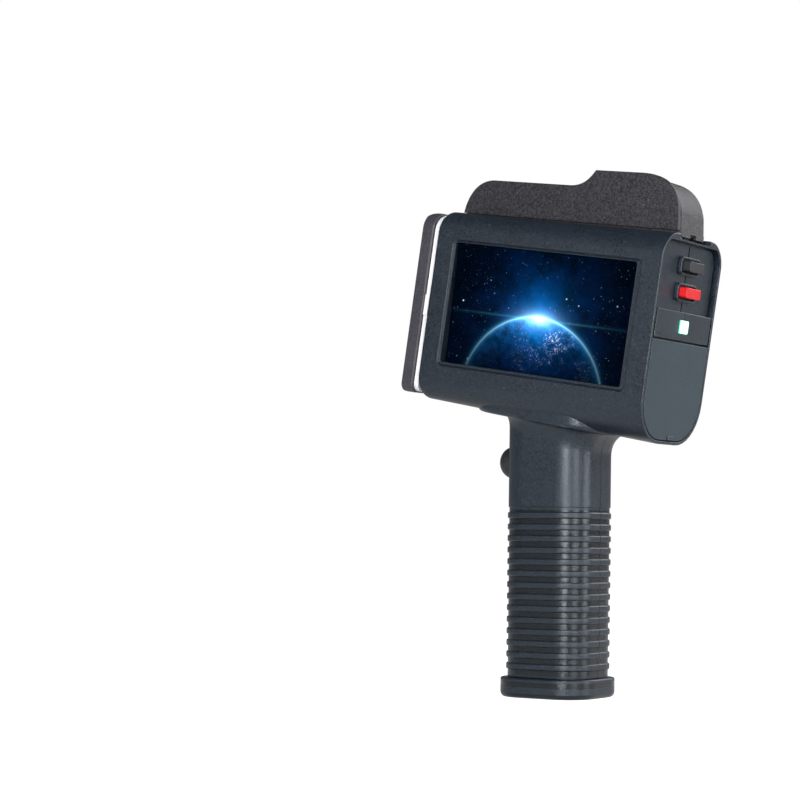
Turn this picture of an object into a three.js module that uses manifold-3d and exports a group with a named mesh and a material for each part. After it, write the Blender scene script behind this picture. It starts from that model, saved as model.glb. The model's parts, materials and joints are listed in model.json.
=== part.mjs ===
// Handheld date-code inkjet printer, in millimetres, +Z up.
// The origin is the centre of the grip's underside. The screen looks along -Y, the print
// face along -X, and the end with the buttons and the battery door along +X. Everything
// above the grip is drawn in its own frame, nose up by TILT about the Y axis.
import * as THREE from 'three';
import { mergeVertices } from 'three/addons/utils/BufferGeometryUtils.js';
import Module from 'manifold-3d';

const wasm = await Module();
wasm.setup();

// ---------------------------------------------------------------- driving dimensions
const GAP = 0.3;                 // clearance between neighbouring pieces
const TILT = 8.64 * Math.PI / 180;
const BODY_HEIGHT = 169.64;      // centre of the upper body above the base

const BODY = { front: -57, rear: 63.3, half: 28.3, wall: 2.4, frontWall: 2.2 };
BODY.noseRadius = 4.5;           // rounding of the front corners, seen from the side
BODY.floor = 60.7;               // outer face of the end wall, inside the raised rim
BODY.rim = 1.5;                  // width of that rim
// the body tapers evenly between these two cross-sections
const FRONT_END = { x: BODY.front, top: 47.2, bottom: -40.5, upper: 7, lower: 7 };
const REAR_END = { x: BODY.rear, top: 48.3, bottom: -45.5, upper: 12, lower: 20 };

const GRIP = { halfX: 21, halfY: 18.5, radius: 13, wall: 2.5, neckTop: 118 };
// the hollow curve from the neck out to the flange, deeper behind the grip than in front of it
const FILLET = { low: 117, high: 125.6, reach: 5, shift: 3, lowLean: 2.15, highLean: 1.22, steps: 4 };
// the flange under the body; leans are shares of the body's tilt
const FLANGE = { x: -3.3, halfX: 33.3, halfY: 24, radius: 14, bottom: 125.1, top: 140, edge: 0.8 };
FLANGE.lean = 1.22;
const RIBS = { count: 14, pitch: 5.3, height: 2.9, top: 84.5, rise: 0.35, groove: -0.4, slope: 0.25 };
const BASE = { halfX: 24, halfY: 22, radius: 15, height: 9, chamfer: 1.4, lip: 0.8, floor: 2.5 };

const GLASS = { width: 96.5, height: 55.5, thick: 1, x: 1.73, z: 5.05, y: -25.15 };
GLASS.lean = 2.5 * Math.PI / 180; // the foot of the glass lies deeper than its head
const WINDOW = { width: 100.3, height: 58.5, x: 2.85, z: 4.75, bevel: 1.5, frame: 4, back: -22 };

const PLATE = { front: -66.5, back: -59.9, half: 28, top: 46, bottom: -39 };
PLATE.upper = 8;                 // corners seen from the front
PLATE.lower = 4;
PLATE.upperEdge = 4.5;           // edges seen from the side
PLATE.lowerEdge = 2;
const SPACER = { front: -59.6, back: -57.3, inset: 0.8, ring: 10.5 };
const NOZZLE = { z: -0.8, print: 25.4, snoutHalf: 8, face: -64.6 };

const LID = { half: 14, wall: 1.8, front: -54.1, rear: 61.8, hingeX: 59, hingeZ: 49, barrel: 1.9 };
LID.barrelHalf = 11.8;
LID.lugHalf = 2.4;
LID.heel = 47.2;                 // lower end of the rear wall, inside the slot in the body's top
LID.lift = 1.3;                  // the cheek ends this far above the body at the rear
LID.skin = 0.5;                  // what is left of the rear wall behind the hinge lug
LID.swing = 3.7;                 // radius of the trough in the body that the lid's heel swings through
LID.bulge = 5;                   // rounding of the lid's far edge
LID.step = 1.2;                  // how far the hump lies inside the cheek on the screen's side
// The slot in the body's top for the lid's heel, open to the rear.
const SLOT = { front: 54.6, floor: 46, recessTop: 45, padBottom: 43.4 };
const SWITCH = { back: 51.5, face: 54.3, half: 3 };
const DOOR = { face: 63.3, back: 61.6, top: 0.6, hingeX: 61.9, hingeZ: -0.5, barrel: 1.4, barrelHalf: 26.2 };
const PIN = { lid: 0.7, door: 0.7, axle: 1, doorHalf: 27.5, lidHalf: 11.2 };

const BUTTON = { halfY: 6.75, halfZ: 2.3, face: 66, zSelect: 34.8, zPower: 23 };
const COLLAR = { halfY: 8.6, halfZ: 4.1, wall: 0.9, radius: 1.8, face: 62.6 };
const LED = { padBottom: 1.5, padTop: 14.3, padHalf: 25.6, halfY: 4, bottom: 4.4, top: 11, face: 63.9 };

const TRIGGER = { z: 107.7, radius: 7.5, tip: -31.5, shoulder: -25, flange: 9 };
const ROLLER = { radius: 4.4, x: -62.9, y: 19.5 };
const SCREW = { shank: 1.25, head: 2.8, hole: 1.6, boss: 2.7, headBoss: 4.4, gripBoss: 3.9 };
SCREW.headHeight = 2;
SCREW.seat = 20.1;               // where the heads of the body's screws rest

// Arcs are drawn with twice as many straight steps as these numbers say.
const CURVE_STEPS = 3;
const ROUND_STEPS = 7;
const BORE_STEPS = 4;
const CORNER_STEPS = 1;
const WHEEL_STEPS = 11;
const SKIN_STEPS = 2;
const DOME_STEPS = 5;

// ---------------------------------------------------------------- shapes and solids
const AXES = {
  x: new THREE.Matrix4().makeBasis(
    new THREE.Vector3(0, 1, 0), new THREE.Vector3(0, 0, 1), new THREE.Vector3(1, 0, 0)),
  y: new THREE.Matrix4().makeBasis(
    new THREE.Vector3(1, 0, 0), new THREE.Vector3(0, 0, 1), new THREE.Vector3(0, -1, 0)),
  z: new THREE.Matrix4(),
};

// Extrudes an outline from low to high along an axis. It is drawn in (y, z), (x, z) or (x, y).
function extrude(axis, outline, low, high, steps = CURVE_STEPS) {
  const options = { depth: high - low, bevelEnabled: false, curveSegments: steps };
  const geometry = new THREE.ExtrudeGeometry(outline, options);
  geometry.applyMatrix4(AXES[axis]);
  const shift = { x: [low, 0, 0], y: [0, high, 0], z: [0, 0, low] }[axis];
  return geometry.translate(...shift);
}

function solid(geometry) {
  const bare = new THREE.BufferGeometry();
  bare.setAttribute('position', geometry.getAttribute('position').clone());
  bare.setIndex(geometry.index ? geometry.index.clone() : null);
  const merged = mergeVertices(bare, 1e-4);
  return new wasm.Manifold(new wasm.Mesh({
    numProp: 3,
    vertProperties: new Float32Array(merged.getAttribute('position').array),
    triVerts: new Uint32Array(merged.index.array),
  }));
}

function geometryOf(manifold) {
  const mesh = manifold.getMesh();
  const geometry = new THREE.BufferGeometry();
  geometry.setAttribute('position', new THREE.BufferAttribute(mesh.vertProperties, 3));
  geometry.setIndex(new THREE.BufferAttribute(mesh.triVerts, 1));
  geometry.computeVertexNormals();
  return geometry;
}

const prism = (axis, outline, low, high, steps) => solid(extrude(axis, outline, low, high, steps));
const join = (first, ...rest) => rest.reduce((sum, piece) => sum.add(piece), first);
const cut = (base, ...tools) => tools.reduce((rest, tool) => rest.subtract(tool), base);

function block([x0, x1], [y0, y1], [z0, z1]) {
  const box = new THREE.BoxGeometry(x1 - x0, y1 - y0, z1 - z0);
  return solid(box.translate((x0 + x1) / 2, (y0 + y1) / 2, (z0 + z1) / 2));
}

function circle(u, v, radius) {
  const outline = new THREE.Shape();
  outline.absarc(u, v, radius, 0, 2 * Math.PI);
  return outline;
}

const rod = (axis, [u, v], radius, low, high, steps = ROUND_STEPS) =>
  prism(axis, circle(u, v, radius), low, high, steps);

// A rectangle with rounded corners: one radius for its lower corners, one for its upper ones.
function rounded(u0, u1, v0, v1, lower, upper = lower) {
  const outline = new THREE.Shape();
  outline.absarc(u1 - lower, v0 + lower, lower, -Math.PI / 2, 0);
  outline.absarc(u1 - upper, v1 - upper, upper, 0, Math.PI / 2);
  outline.absarc(u0 + upper, v1 - upper, upper, Math.PI / 2, Math.PI);
  outline.absarc(u0 + lower, v0 + lower, lower, Math.PI, 1.5 * Math.PI);
  return outline;
}

const centred = (v, halfU, halfV, radius) => rounded(-halfU, halfU, v - halfV, v + halfV, radius);

const shrunk = (radius, gap) => Math.max(radius - gap, 0.5);

// Moves every side of a polygon inwards by the same distance.
function inset(points, distance) {
  const count = points.length;
  const inward = (a, b) => new THREE.Vector2(a.y - b.y, b.x - a.x).normalize();
  return points.map((point, i) => {
    const before = inward(points[(i + count - 1) % count], point);
    const after = inward(point, points[(i + 1) % count]);
    const middle = before.clone().add(after).normalize();
    return point.clone().addScaledVector(middle, distance / middle.dot(after));
  });
}

// A closed skin through level sections of a rounded rectangle. Each level is
// [height, outward offset, share of the upper body's tilt, shift along X].
function loft(halfX, halfY, radius, levels) {
  const positions = [];
  const index = [];
  let ring = 0;
  for (const [height, offset, lean = 0, shift = 0] of levels) {
    const [x, y] = [halfX + offset, halfY + offset];
    const points = rounded(-x, x, -y, y, radius + offset).getPoints(SKIN_STEPS);
    if (points[0].distanceTo(points[points.length - 1]) < 1e-6) points.pop();
    ring = points.length;
    for (const point of points) {
      const along = point.x + shift;
      positions.push(along, point.y, height - lean * along * Math.tan(TILT));
    }
  }
  for (let level = 0; level + 1 < levels.length; level++) {
    for (let i = 0; i < ring; i++) {
      const a = level * ring + i;
      const b = level * ring + (i + 1) % ring;
      index.push(a, b, b + ring, a, b + ring, a + ring);
    }
  }
  const last = (levels.length - 1) * ring;
  for (let i = 1; i + 1 < ring; i++) {
    index.push(0, i + 1, i, last, last + i, last + i + 1);
  }
  const geometry = new THREE.BufferGeometry();
  geometry.setAttribute('position', new THREE.Float32BufferAttribute(positions, 3));
  geometry.setIndex(index);
  return geometry;
}

function tube(points, radius, steps) {
  const options = { steps, extrudePath: new THREE.CatmullRomCurve3(points), bevelEnabled: false };
  options.curveSegments = 3;
  return solid(new THREE.ExtrudeGeometry(circle(0, 0, radius), options));
}

function part(name, shape, colour, roughness = 0.6, metalness = 0) {
  const material = new THREE.MeshStandardMaterial({ color: colour, roughness, metalness });
  const mesh = new THREE.Mesh(geometryOf(shape), material);
  mesh.name = name;
  return mesh;
}

// ---------------------------------------------------------------- frames
const printer = new THREE.Group();
const body = new THREE.Group();
body.position.z = BODY_HEIGHT;
body.rotation.y = TILT;
printer.add(body);
body.updateMatrixWorld(true);
const intoBody = body.matrixWorld.clone().invert();
const gripSolid = (geometry) => solid(geometry.applyMatrix4(intoBody));

const COLOUR = {
  shell: 0x34383f, lid: 0x3b3a3e, door: 0x4f5c63, rubber: 0x232427,
  plate: 0x4d4d55, white: 0xf0f0f0, black: 0x1a1b1d, red: 0xe02433, steel: 0xb8bcc2,
  glass: 0x02061a, board: 0x1f6a3d, ink: 0x202124, cell: 0x2a4f8f, gold: 0xc9a24a,
};

// ---------------------------------------------------------------- housing
const section = (end, gap) => rounded(
  -BODY.half + gap, BODY.half - gap, end.bottom + gap, end.top - gap,
  shrunk(end.lower, gap), shrunk(end.upper, gap));

// The tapered body, with every side moved inwards by gap.
function taper(gap) {
  const ring = (end) => section(end, gap).getPoints(CURVE_STEPS).map((point) => [end.x, point.x, point.y]);
  return wasm.Manifold.hull([...ring(FRONT_END), ...ring(REAR_END)]);
}

// Height of the top of the body at a place along it.
const topAt = (x) => THREE.MathUtils.mapLinear(x, BODY.front, BODY.rear, FRONT_END.top, REAR_END.top);

function sideOutline() {
  const { front, rear, noseRadius } = BODY;
  const margin = 1;
  const outline = new THREE.Shape();
  outline.moveTo(rear, REAR_END.bottom - margin);
  outline.lineTo(rear, REAR_END.top + margin);
  outline.absarc(front + noseRadius, FRONT_END.top - noseRadius, noseRadius, Math.PI / 2, Math.PI);
  outline.absarc(front + noseRadius, FRONT_END.bottom + noseRadius, noseRadius, Math.PI, 1.5 * Math.PI);
  return outline;
}

const screwSpots = [[-51.3, 36], [-48, -34], [55.2, 41], [55.2, -2.2]];   // body, (x, z)
const gripScrewHeights = [28, 80];

function grip() {
  const levels = [[BASE.height + GAP, RIBS.groove]];
  for (let i = RIBS.count - 1; i >= 0; i--) {
    const top = RIBS.top - i * RIBS.pitch;
    const bottom = top - RIBS.height;
    levels.push([bottom - RIBS.slope, RIBS.groove], [bottom + RIBS.slope, RIBS.rise]);
    levels.push([top - RIBS.slope, RIBS.rise], [top + RIBS.slope, i > 0 ? RIBS.groove : 0]);
  }
  for (let i = 0; i <= FILLET.steps; i++) {
    const angle = (i / FILLET.steps) * Math.PI / 2;
    const rise = Math.sin(angle);
    const spread = 1 - Math.cos(angle);
    levels.push([
      THREE.MathUtils.lerp(FILLET.low, FILLET.high, rise), FILLET.reach * spread,
      THREE.MathUtils.lerp(FILLET.lowLean, FILLET.highLean, rise), FILLET.shift * spread]);
  }
  levels.push([FLANGE.top, FILLET.reach, FLANGE.lean, FILLET.shift]);
  return gripSolid(loft(GRIP.halfX, GRIP.halfY, GRIP.radius, levels));
}

function flange() {
  const { x, halfX, halfY, radius, bottom, top, edge, lean } = FLANGE;
  const levels = [[bottom, -edge, lean, x], [bottom + edge, 0, lean, x], [top, 0, lean, x]];
  return gripSolid(loft(halfX, halfY, radius, levels));
}

function gripCavity() {
  const levels = [[BASE.height - 2, -GRIP.wall], [GRIP.neckTop + 22, -GRIP.wall]];
  return gripSolid(loft(GRIP.halfX, GRIP.halfY, GRIP.radius, levels));
}

function gripBosses() {
  const reach = GRIP.halfY - 1;
  const bosses = gripScrewHeights.map((height) =>
    gripSolid(extrude('y', circle(0, height, SCREW.gripBoss), -reach, reach, BORE_STEPS)));
  return join(...bosses);
}

// Recess for each screw's head, a clearance hole for its shank and a blind hole to end it.
function screwHoles() {
  const tools = [];
  for (const [x, z] of screwSpots) {
    tools.push(rod('y', [x, z], SCREW.head + GAP, SCREW.seat, BODY.half + 1));
    tools.push(rod('y', [x, z], SCREW.hole, -13, SCREW.seat + 1, BORE_STEPS));
  }
  for (const height of gripScrewHeights) {
    const head = extrude('y', circle(0, height, SCREW.head + GAP), 14.6, 20, ROUND_STEPS);
    const shank = extrude('y', circle(0, height, SCREW.hole), -11, 15, BORE_STEPS);
    tools.push(gripSolid(head), gripSolid(shank));
  }
  return tools;
}

// Lets the rear of the lid into the top of the body and adds the lug that carries its hinge pin.
function lidSlot(shell) {
  const reach = LID.half + GAP;
  const axis = [LID.hingeX, LID.hingeZ];
  const pad = block(
    [SLOT.front, BODY.floor - 1], [-reach - 1, reach + 1], [SLOT.padBottom, SLOT.floor + 1]);
  const post = block(
    [LID.hingeX - LID.barrel, LID.hingeX - GAP], [-LID.lugHalf, LID.lugHalf],
    [SLOT.padBottom + 1, LID.hingeZ]);
  return join(
    cut(join(shell, pad),
      block([SLOT.front, BODY.rear + 1], [-reach, reach], [SLOT.floor, LID.hingeZ + LID.swing]),
      rod('y', axis, LID.swing, -reach, reach, WHEEL_STEPS)),
    rod('y', axis, LID.barrel, -LID.lugHalf, LID.lugHalf),
    post);
}

function housing() {
  const { front, rear, wall, frontWall, half, floor, rim } = BODY;
  const far = 200;
  const rearSpan = (gap, low, high) => prism('x', section(REAR_END, gap), low, high);
  const outside = taper(0).intersect(prism('y', sideOutline(), -half - 1, half + 1));
  const inside = block([front + frontWall, floor - 2], [-half, half], [-far, far]).intersect(taper(wall));
  let shell = cut(join(outside, flange(), grip()), join(inside, gripCavity()));

  // window frame, screw bosses and the hinge lugs
  const frame = block(
    [WINDOW.x - WINDOW.width / 2 - WINDOW.frame, WINDOW.x + WINDOW.width / 2 + WINDOW.frame - 1],
    [-half + 1, WINDOW.back],
    [WINDOW.z - WINDOW.height / 2 - WINDOW.frame, WINDOW.z + WINDOW.height / 2 + WINDOW.frame]);
  const bosses = screwSpots.flatMap(([x, z]) => [
    rod('y', [x, z], SCREW.boss, -half, SCREW.seat, BORE_STEPS),
    rod('y', [x, z], SCREW.headBoss, SCREW.seat - 1.7, half),
  ]);
  shell = join(shell, frame.intersect(outside), join(...bosses).intersect(outside), gripBosses());
  shell = lidSlot(shell);

  // display window, bevelled towards the outside
  const opening = rounded(
    GLASS.x - GLASS.width / 2 - GAP, GLASS.x + GLASS.width / 2 + GAP,
    GLASS.z - GLASS.height / 2 - GAP, GLASS.z + GLASS.height / 2 + GAP, 1.5);
  const step = rounded(
    WINDOW.x - WINDOW.width / 2, WINDOW.x + WINDOW.width / 2,
    WINDOW.z - WINDOW.height / 2, WINDOW.z + WINDOW.height / 2, 2.5);
  shell = cut(shell,
    prism('y', opening, -half - 1, WINDOW.back + 4, CORNER_STEPS),
    prism('y', step, -half - 1, -half + WINDOW.bevel, CORNER_STEPS));

  // end face: the shallow recess inside the rim, battery bay, button and lamp holes
  const bay = rearSpan(rim + 2.7, floor - 3, rear + 1)
    .intersect(block([50, 70], [-half, half], [-far, DOOR.hingeZ - DOOR.barrel - 0.5]));
  const recess = rearSpan(rim, floor, rear + 1)
    .intersect(block([floor, rear + 1], [-half, half], [-far, SLOT.recessTop]));
  const holes = [BUTTON.zSelect, BUTTON.zPower].map((z) =>
    prism('x', centred(z, BUTTON.halfY + GAP, BUTTON.halfZ + GAP, 1.5), floor - 3, rear, CORNER_STEPS));
  const lampHole = block([floor - 3, rear + 1], [-LED.halfY, LED.halfY], [LED.bottom, LED.top]);
  const latchSlot = block([floor - 3, floor + 1], [-4, 4], [-43.4, -38]);
  const barrelBed = block(
    [floor - 3, rear], [-half + rim, half - rim],
    [DOOR.hingeZ - DOOR.barrel - 1, DOOR.hingeZ + DOOR.barrel + 0.5]);
  const lampPad = block([floor - 1, rear], [-LED.padHalf, LED.padHalf], [LED.padBottom, LED.padTop]);
  shell = cut(join(cut(shell, recess), lampPad), bay, ...holes, lampHole, latchSlot, barrelBed);

  // cartridge bay at the top, nozzle and sensor openings at the front, trigger hole, pin bores
  const nozzleHeight = NOZZLE.print / 2 + 4;
  return cut(shell,
    block([-50, 56], [-12, 12], [30, 50]),
    block([front - 1, front + 4], [-12, 12], [NOZZLE.z - nozzleHeight, NOZZLE.z + nozzleHeight]),
    block([front - 1, front + 4], [ROLLER.y - 3.5, ROLLER.y + 3.5], [-5, 5]),
    gripSolid(extrude('x', circle(0, TRIGGER.z, TRIGGER.radius + GAP), -30, -12, 10)),
    rod('y', [LID.hingeX, LID.hingeZ], PIN.lid + GAP, -LID.lugHalf - 1, LID.lugHalf + 1, BORE_STEPS),
    rod('y', [DOOR.hingeX, DOOR.hingeZ], PIN.door + GAP, -PIN.doorHalf - GAP, PIN.doorHalf + GAP, BORE_STEPS),
    ...plateScrewSpots.map((spot) => rod('x', spot, SCREW.hole, front - 1, front + 2.8, BORE_STEPS)),
    ...screwHoles());
}

// ---------------------------------------------------------------- print face
const plateScrewSpots = [[-20, 36], [20, 36], [-19, -31], [19, -31]];    // (y, z)
const rollerSpans = {                                                    // side, low z, high z
  encoder_roller: [1, -6, 6],
  guide_roller_upper: [-1, 20, 28],
  guide_roller_lower: [-1, -23, -15],
};

const plateOutline = (gap) => rounded(
  -PLATE.half + gap, PLATE.half - gap, PLATE.bottom + gap, PLATE.top - gap,
  shrunk(PLATE.lower, gap), shrunk(PLATE.upper, gap));

function rollerPocket([side, low, high], x) {
  const y = side * ROLLER.y;
  const reach = ROLLER.radius + 0.5;
  return block(x, [y - reach, y + reach], [low - 0.6, high + 0.6]);
}

function guidePlate() {
  const window = centred(NOZZLE.z, NOZZLE.snoutHalf + 1, NOZZLE.print / 2 + 3, 2);
  const tools = [prism('x', window, PLATE.front - 1, PLATE.back + 1, CORNER_STEPS)];
  for (const span of Object.values(rollerSpans)) {
    tools.push(rollerPocket(span, [PLATE.front - 1, PLATE.back + 1]));
    const centre = [ROLLER.x, span[0] * ROLLER.y];
    tools.push(rod('z', centre, PIN.axle + GAP, span[1] - 3.4, span[2] + 3.4, BORE_STEPS));
  }
  for (const spot of plateScrewSpots) {
    tools.push(rod('x', spot, SCREW.hole, PLATE.front - 1, PLATE.back + 1, BORE_STEPS));
    tools.push(rod('x', spot, SCREW.head + GAP, PLATE.front - 1, PLATE.front + SCREW.headHeight + 0.8));
  }
  for (const z of [13.1, -14.7]) {
    const mark = [z - 0.25, z + 0.25];
    tools.push(block([PLATE.front - 1, PLATE.back + 1], [-PLATE.half - 1, -PLATE.half + 0.6], mark));
    tools.push(block([PLATE.front - 1, PLATE.back + 1], [PLATE.half - 0.6, PLATE.half + 1], mark));
  }
  const side = rounded(
    PLATE.front, PLATE.front + 20, PLATE.bottom, PLATE.top, PLATE.lowerEdge, PLATE.upperEdge);
  const profile = prism('y', side, -PLATE.half - 1, PLATE.half + 1, CORNER_STEPS);
  return cut(prism('x', plateOutline(0), PLATE.front, PLATE.back).intersect(profile), ...tools);
}

function frontSpacer() {
  const ring = prism('x', plateOutline(SPACER.inset), SPACER.front, SPACER.back);
  const x = [SPACER.front - 1, SPACER.back + 1];
  const tools = [prism('x', plateOutline(SPACER.ring), ...x)];
  for (const span of Object.values(rollerSpans)) tools.push(rollerPocket(span, x));
  for (const spot of plateScrewSpots) tools.push(rod('x', spot, SCREW.hole, ...x, BORE_STEPS));
  return cut(ring, ...tools);
}

function addPrintFace() {
  body.add(part('front_guide_plate', guidePlate(), COLOUR.plate, 0.55));
  body.add(part('front_spacer', frontSpacer(), COLOUR.white, 0.5));
  for (const [name, span] of Object.entries(rollerSpans)) {
    const centre = [ROLLER.x, span[0] * ROLLER.y];
    const wheel = cut(
      rod('z', centre, ROLLER.radius, span[1], span[2], WHEEL_STEPS),
      rod('z', centre, PIN.axle + GAP, span[1] - 1, span[2] + 1, BORE_STEPS));
    body.add(part(name, wheel, COLOUR.rubber, 0.8));
    const axle = rod('z', centre, PIN.axle, span[1] - 3, span[2] + 3, BORE_STEPS);
    body.add(part(name.replace('roller', 'axle'), axle, COLOUR.steel, 0.3, 1));
  }
  plateScrewSpots.forEach((spot, i) => {
    const head = rod('x', spot, SCREW.head, PLATE.front + 0.5, PLATE.front + 0.5 + SCREW.headHeight);
    const shank = rod('x', spot, SCREW.shank, PLATE.front + 1, BODY.front + 2.4, BORE_STEPS);
    body.add(part(`plate_screw_${i + 1}`, join(head, shank), COLOUR.steel, 0.35, 1));
  });
}

// ---------------------------------------------------------------- shells and grip
function addShells() {
  const whole = housing();
  const far = [-200, 200];
  const left = whole.intersect(block(far, [-40, -GAP / 2], far));
  const right = whole.intersect(block(far, [GAP / 2, 40], far));
  body.add(part('left_housing', left, COLOUR.shell, 0.6));
  body.add(part('right_housing', right, COLOUR.shell, 0.6));

  const shellScrew = (x, z, top, end) => join(
    rod('y', [x, z], SCREW.head, top - SCREW.headHeight, top),
    rod('y', [x, z], SCREW.shank, end, top - 1, BORE_STEPS));
  screwSpots.forEach(([x, z], i) => {
    const screw = shellScrew(x, z, SCREW.seat + GAP + SCREW.headHeight, -12);
    body.add(part(`shell_screw_${i + 1}`, screw, COLOUR.steel, 0.35, 1));
  });
  gripScrewHeights.forEach((z, i) => {
    printer.add(part(`grip_screw_${i + 1}`, shellScrew(0, z, 16.9, -10), COLOUR.steel, 0.35, 1));
  });

  const spigot = -GRIP.wall - GAP;
  const gripLoft = (levels) => solid(loft(GRIP.halfX, GRIP.halfY, GRIP.radius, levels));
  const foot = solid(loft(BASE.halfX, BASE.halfY, BASE.radius, [
    [0, -BASE.chamfer], [BASE.chamfer, 0], [BASE.height - BASE.lip, 0], [BASE.height, -BASE.lip]]));
  const cap = cut(
    join(foot, gripLoft([[BASE.height - 1, spigot], [BASE.height + 5, spigot]])),
    gripLoft([[BASE.floor, spigot - 2], [BASE.height + 6, spigot - 2]]));
  printer.add(part('base_cap', cap, COLOUR.shell, 0.6));
}

function addTrigger() {
  const dome = [];
  const rise = TRIGGER.shoulder - TRIGGER.tip;
  for (let i = 0; i <= DOME_STEPS; i++) {
    const angle = (i / DOME_STEPS) * Math.PI / 2;
    dome.push(new THREE.Vector2(TRIGGER.radius * Math.sin(angle), rise * Math.cos(angle)));
  }
  const inner = -GRIP.halfX + GRIP.wall + 3.2 * GAP;     // where the flange stops behind the wall
  const profile = [
    ...dome,
    new THREE.Vector2(TRIGGER.radius, TRIGGER.shoulder - inner),
    new THREE.Vector2(TRIGGER.flange, TRIGGER.shoulder - inner),
    new THREE.Vector2(TRIGGER.flange, TRIGGER.shoulder - inner - 2),
    new THREE.Vector2(0, TRIGGER.shoulder - inner - 2),
  ];
  profile[0].x = 0;
  const spun = new THREE.LatheGeometry(profile.reverse(), 20);
  spun.rotateZ(Math.PI / 2).translate(TRIGGER.shoulder, 0, TRIGGER.z);
  printer.add(part('trigger_button', solid(spun), COLOUR.black, 0.45));
  const floor = inner + 2;
  const maker = block([floor + 3.8, floor + 15], [-4, 4], [TRIGGER.z - 9, TRIGGER.z + 10]);
  printer.add(part('trigger_switch', maker, COLOUR.black, 0.5));
  const route = [[-6, 0, 118.6], [-5.6, -4.5, 121.5], [-5, -12.6, 127.5], [-4, -13.9, 143]];
  const lead = tube(route.map((point) => new THREE.Vector3(...point)), 1.1, 14);
  printer.add(part('trigger_lead', lead, COLOUR.black, 0.6));
}

// ---------------------------------------------------------------- display and electronics
function addDisplay() {
  const display = new THREE.Group();
  display.position.set(GLASS.x, GLASS.y, GLASS.z);
  display.rotation.x = GLASS.lean;
  body.add(display);
  const outline = centred(0, GLASS.width / 2, GLASS.height / 2, 1.6);
  const pane = (front, back) => prism('y', outline, front, back, CORNER_STEPS);
  display.add(part('display_glass', pane(0, GLASS.thick), COLOUR.glass, 0.1));
  display.add(part('lcd_module', pane(GLASS.thick + GAP, GLASS.thick + GAP + 3), COLOUR.black, 0.4));
}

function addElectronics() {
  const mainBoard = block([-44, 47], [-17.8, -16.2], [-34, 38]);
  body.add(part('main_board', mainBoard, COLOUR.board, 0.5));
  const interfaceBoard = block([49.7, 51.2], [-18, 18], [3, 42]);
  body.add(part('interface_board', interfaceBoard, COLOUR.board, 0.5));
  const contactBoard = block([-44, -16], [-9, 9], [-23, -21.4]);
  body.add(part('contact_board', contactBoard, COLOUR.board, 0.5));
  const encoderBoard = block([-54.4, -52.9], [ROLLER.y - 5, ROLLER.y + 4], [-9, 9]);
  body.add(part('encoder_board', encoderBoard, COLOUR.board, 0.5));
  const battery = prism('x', rounded(-10, 10, -39.6, -6.3, 4), -6, 58.4, CORNER_STEPS);
  body.add(part('battery_pack', battery, COLOUR.cell, 0.5));
}

// ---------------------------------------------------------------- cartridge and its lid
// Side view of the lid, with the rounded part behind its hump moved inwards by step.
function lidOutline(step) {
  const outline = new THREE.Shape();
  outline.moveTo(LID.rear, LID.heel);
  outline.lineTo(60.2, 57.6);
  outline.bezierCurveTo(58.8 - step, 69 - step, 51.5 - step, 74 - step, 38.8, 73.7 - step);
  outline.lineTo(15.8, 73.1 - step);
  outline.lineTo(10.2, 68);
  outline.quadraticCurveTo(8, 65.6, 3.7, 65.3);
  outline.lineTo(-39.5, 64.4);
  outline.bezierCurveTo(-47.5, 63.9, -52.9, 58, LID.front, topAt(LID.front) + GAP);
  return outline;
}

function addCartridge() {
  const snout = NOZZLE.print / 2 + 1.9;
  const outline = new THREE.Shape([
    [-47, -18], [-12, -18], [-12, -3], [46, -3], [46, 63], [40, 68], [20, 67.6], [12, 62],
    [-43, 60.4], [-47, 54], [-47, NOZZLE.z + snout], [-50, NOZZLE.z + snout], [-50, NOZZLE.z - snout],
    [-47, NOZZLE.z - snout],
  ].map(([x, z]) => new THREE.Vector2(x, z)));
  const tank = prism('y', outline, -11, 11);
  const nose = block(
    [NOZZLE.face, -48], [-NOZZLE.snoutHalf, NOZZLE.snoutHalf], [NOZZLE.z - snout, NOZZLE.z + snout]);
  body.add(part('ink_cartridge', join(tank, nose), COLOUR.ink, 0.5));
  const orifice = block(
    [NOZZLE.face - 0.7, NOZZLE.face - 0.3], [-5, 5],
    [NOZZLE.z - NOZZLE.print / 2 - 0.8, NOZZLE.z + NOZZLE.print / 2 + 0.8]);
  body.add(part('nozzle_plate', orifice, COLOUR.gold, 0.3, 1));

  const cradle = join(
    block([-47.5, 48], [11.4, 13.2], [-20.6, 30]),
    block([-47.5, 48], [-13.2, -11.4], [-20.6, 30]),
    block([-47.5, -9.8], [-12, 12], [-20.6, -18.6]),
    block([-11.6, -9.8], [-12, 12], [-19, -4]),
    block([-11.6, 48], [-12, 12], [-5.6, -3.4]));
  body.add(part('cartridge_cradle', cradle, COLOUR.black, 0.6));
}

// Moves a lid outline inwards, all but its open foot, which stays at its own height.
function lidInset(points, distance, foot = 0) {
  return inset(points, distance).map((point, i) =>
    (points[i].y < topAt(points[i].x) + 1 ? new THREE.Vector2(point.x, points[i].y - foot) : point));
}

// A closed skin through outlines with the same number of points. Each level is [y, points].
function stack(levels) {
  const geometry = new THREE.BufferGeometry();
  const count = levels[0][1].length;
  const positions = levels.flatMap(([y, points]) => points.flatMap((point) => [point.x, y, point.y]));
  const index = [];
  for (let level = 0; level + 1 < levels.length; level++) {
    for (let i = 0; i < count; i++) {
      const a = level * count + i;
      const b = level * count + (i + 1) % count;
      index.push(a, b + count, b, a, a + count, b + count);
    }
  }
  const last = (levels.length - 1) * count;
  for (const [a, b, c] of THREE.ShapeUtils.triangulateShape(levels[0][1], [])) {
    index.push(a, b, c);
  }
  for (const [a, b, c] of THREE.ShapeUtils.triangulateShape(levels[levels.length - 1][1], [])) {
    index.push(last + a, last + c, last + b);
  }
  geometry.setAttribute('position', new THREE.Float32BufferAttribute(positions, 3));
  geometry.setIndex(index);
  return solid(geometry);
}

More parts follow.
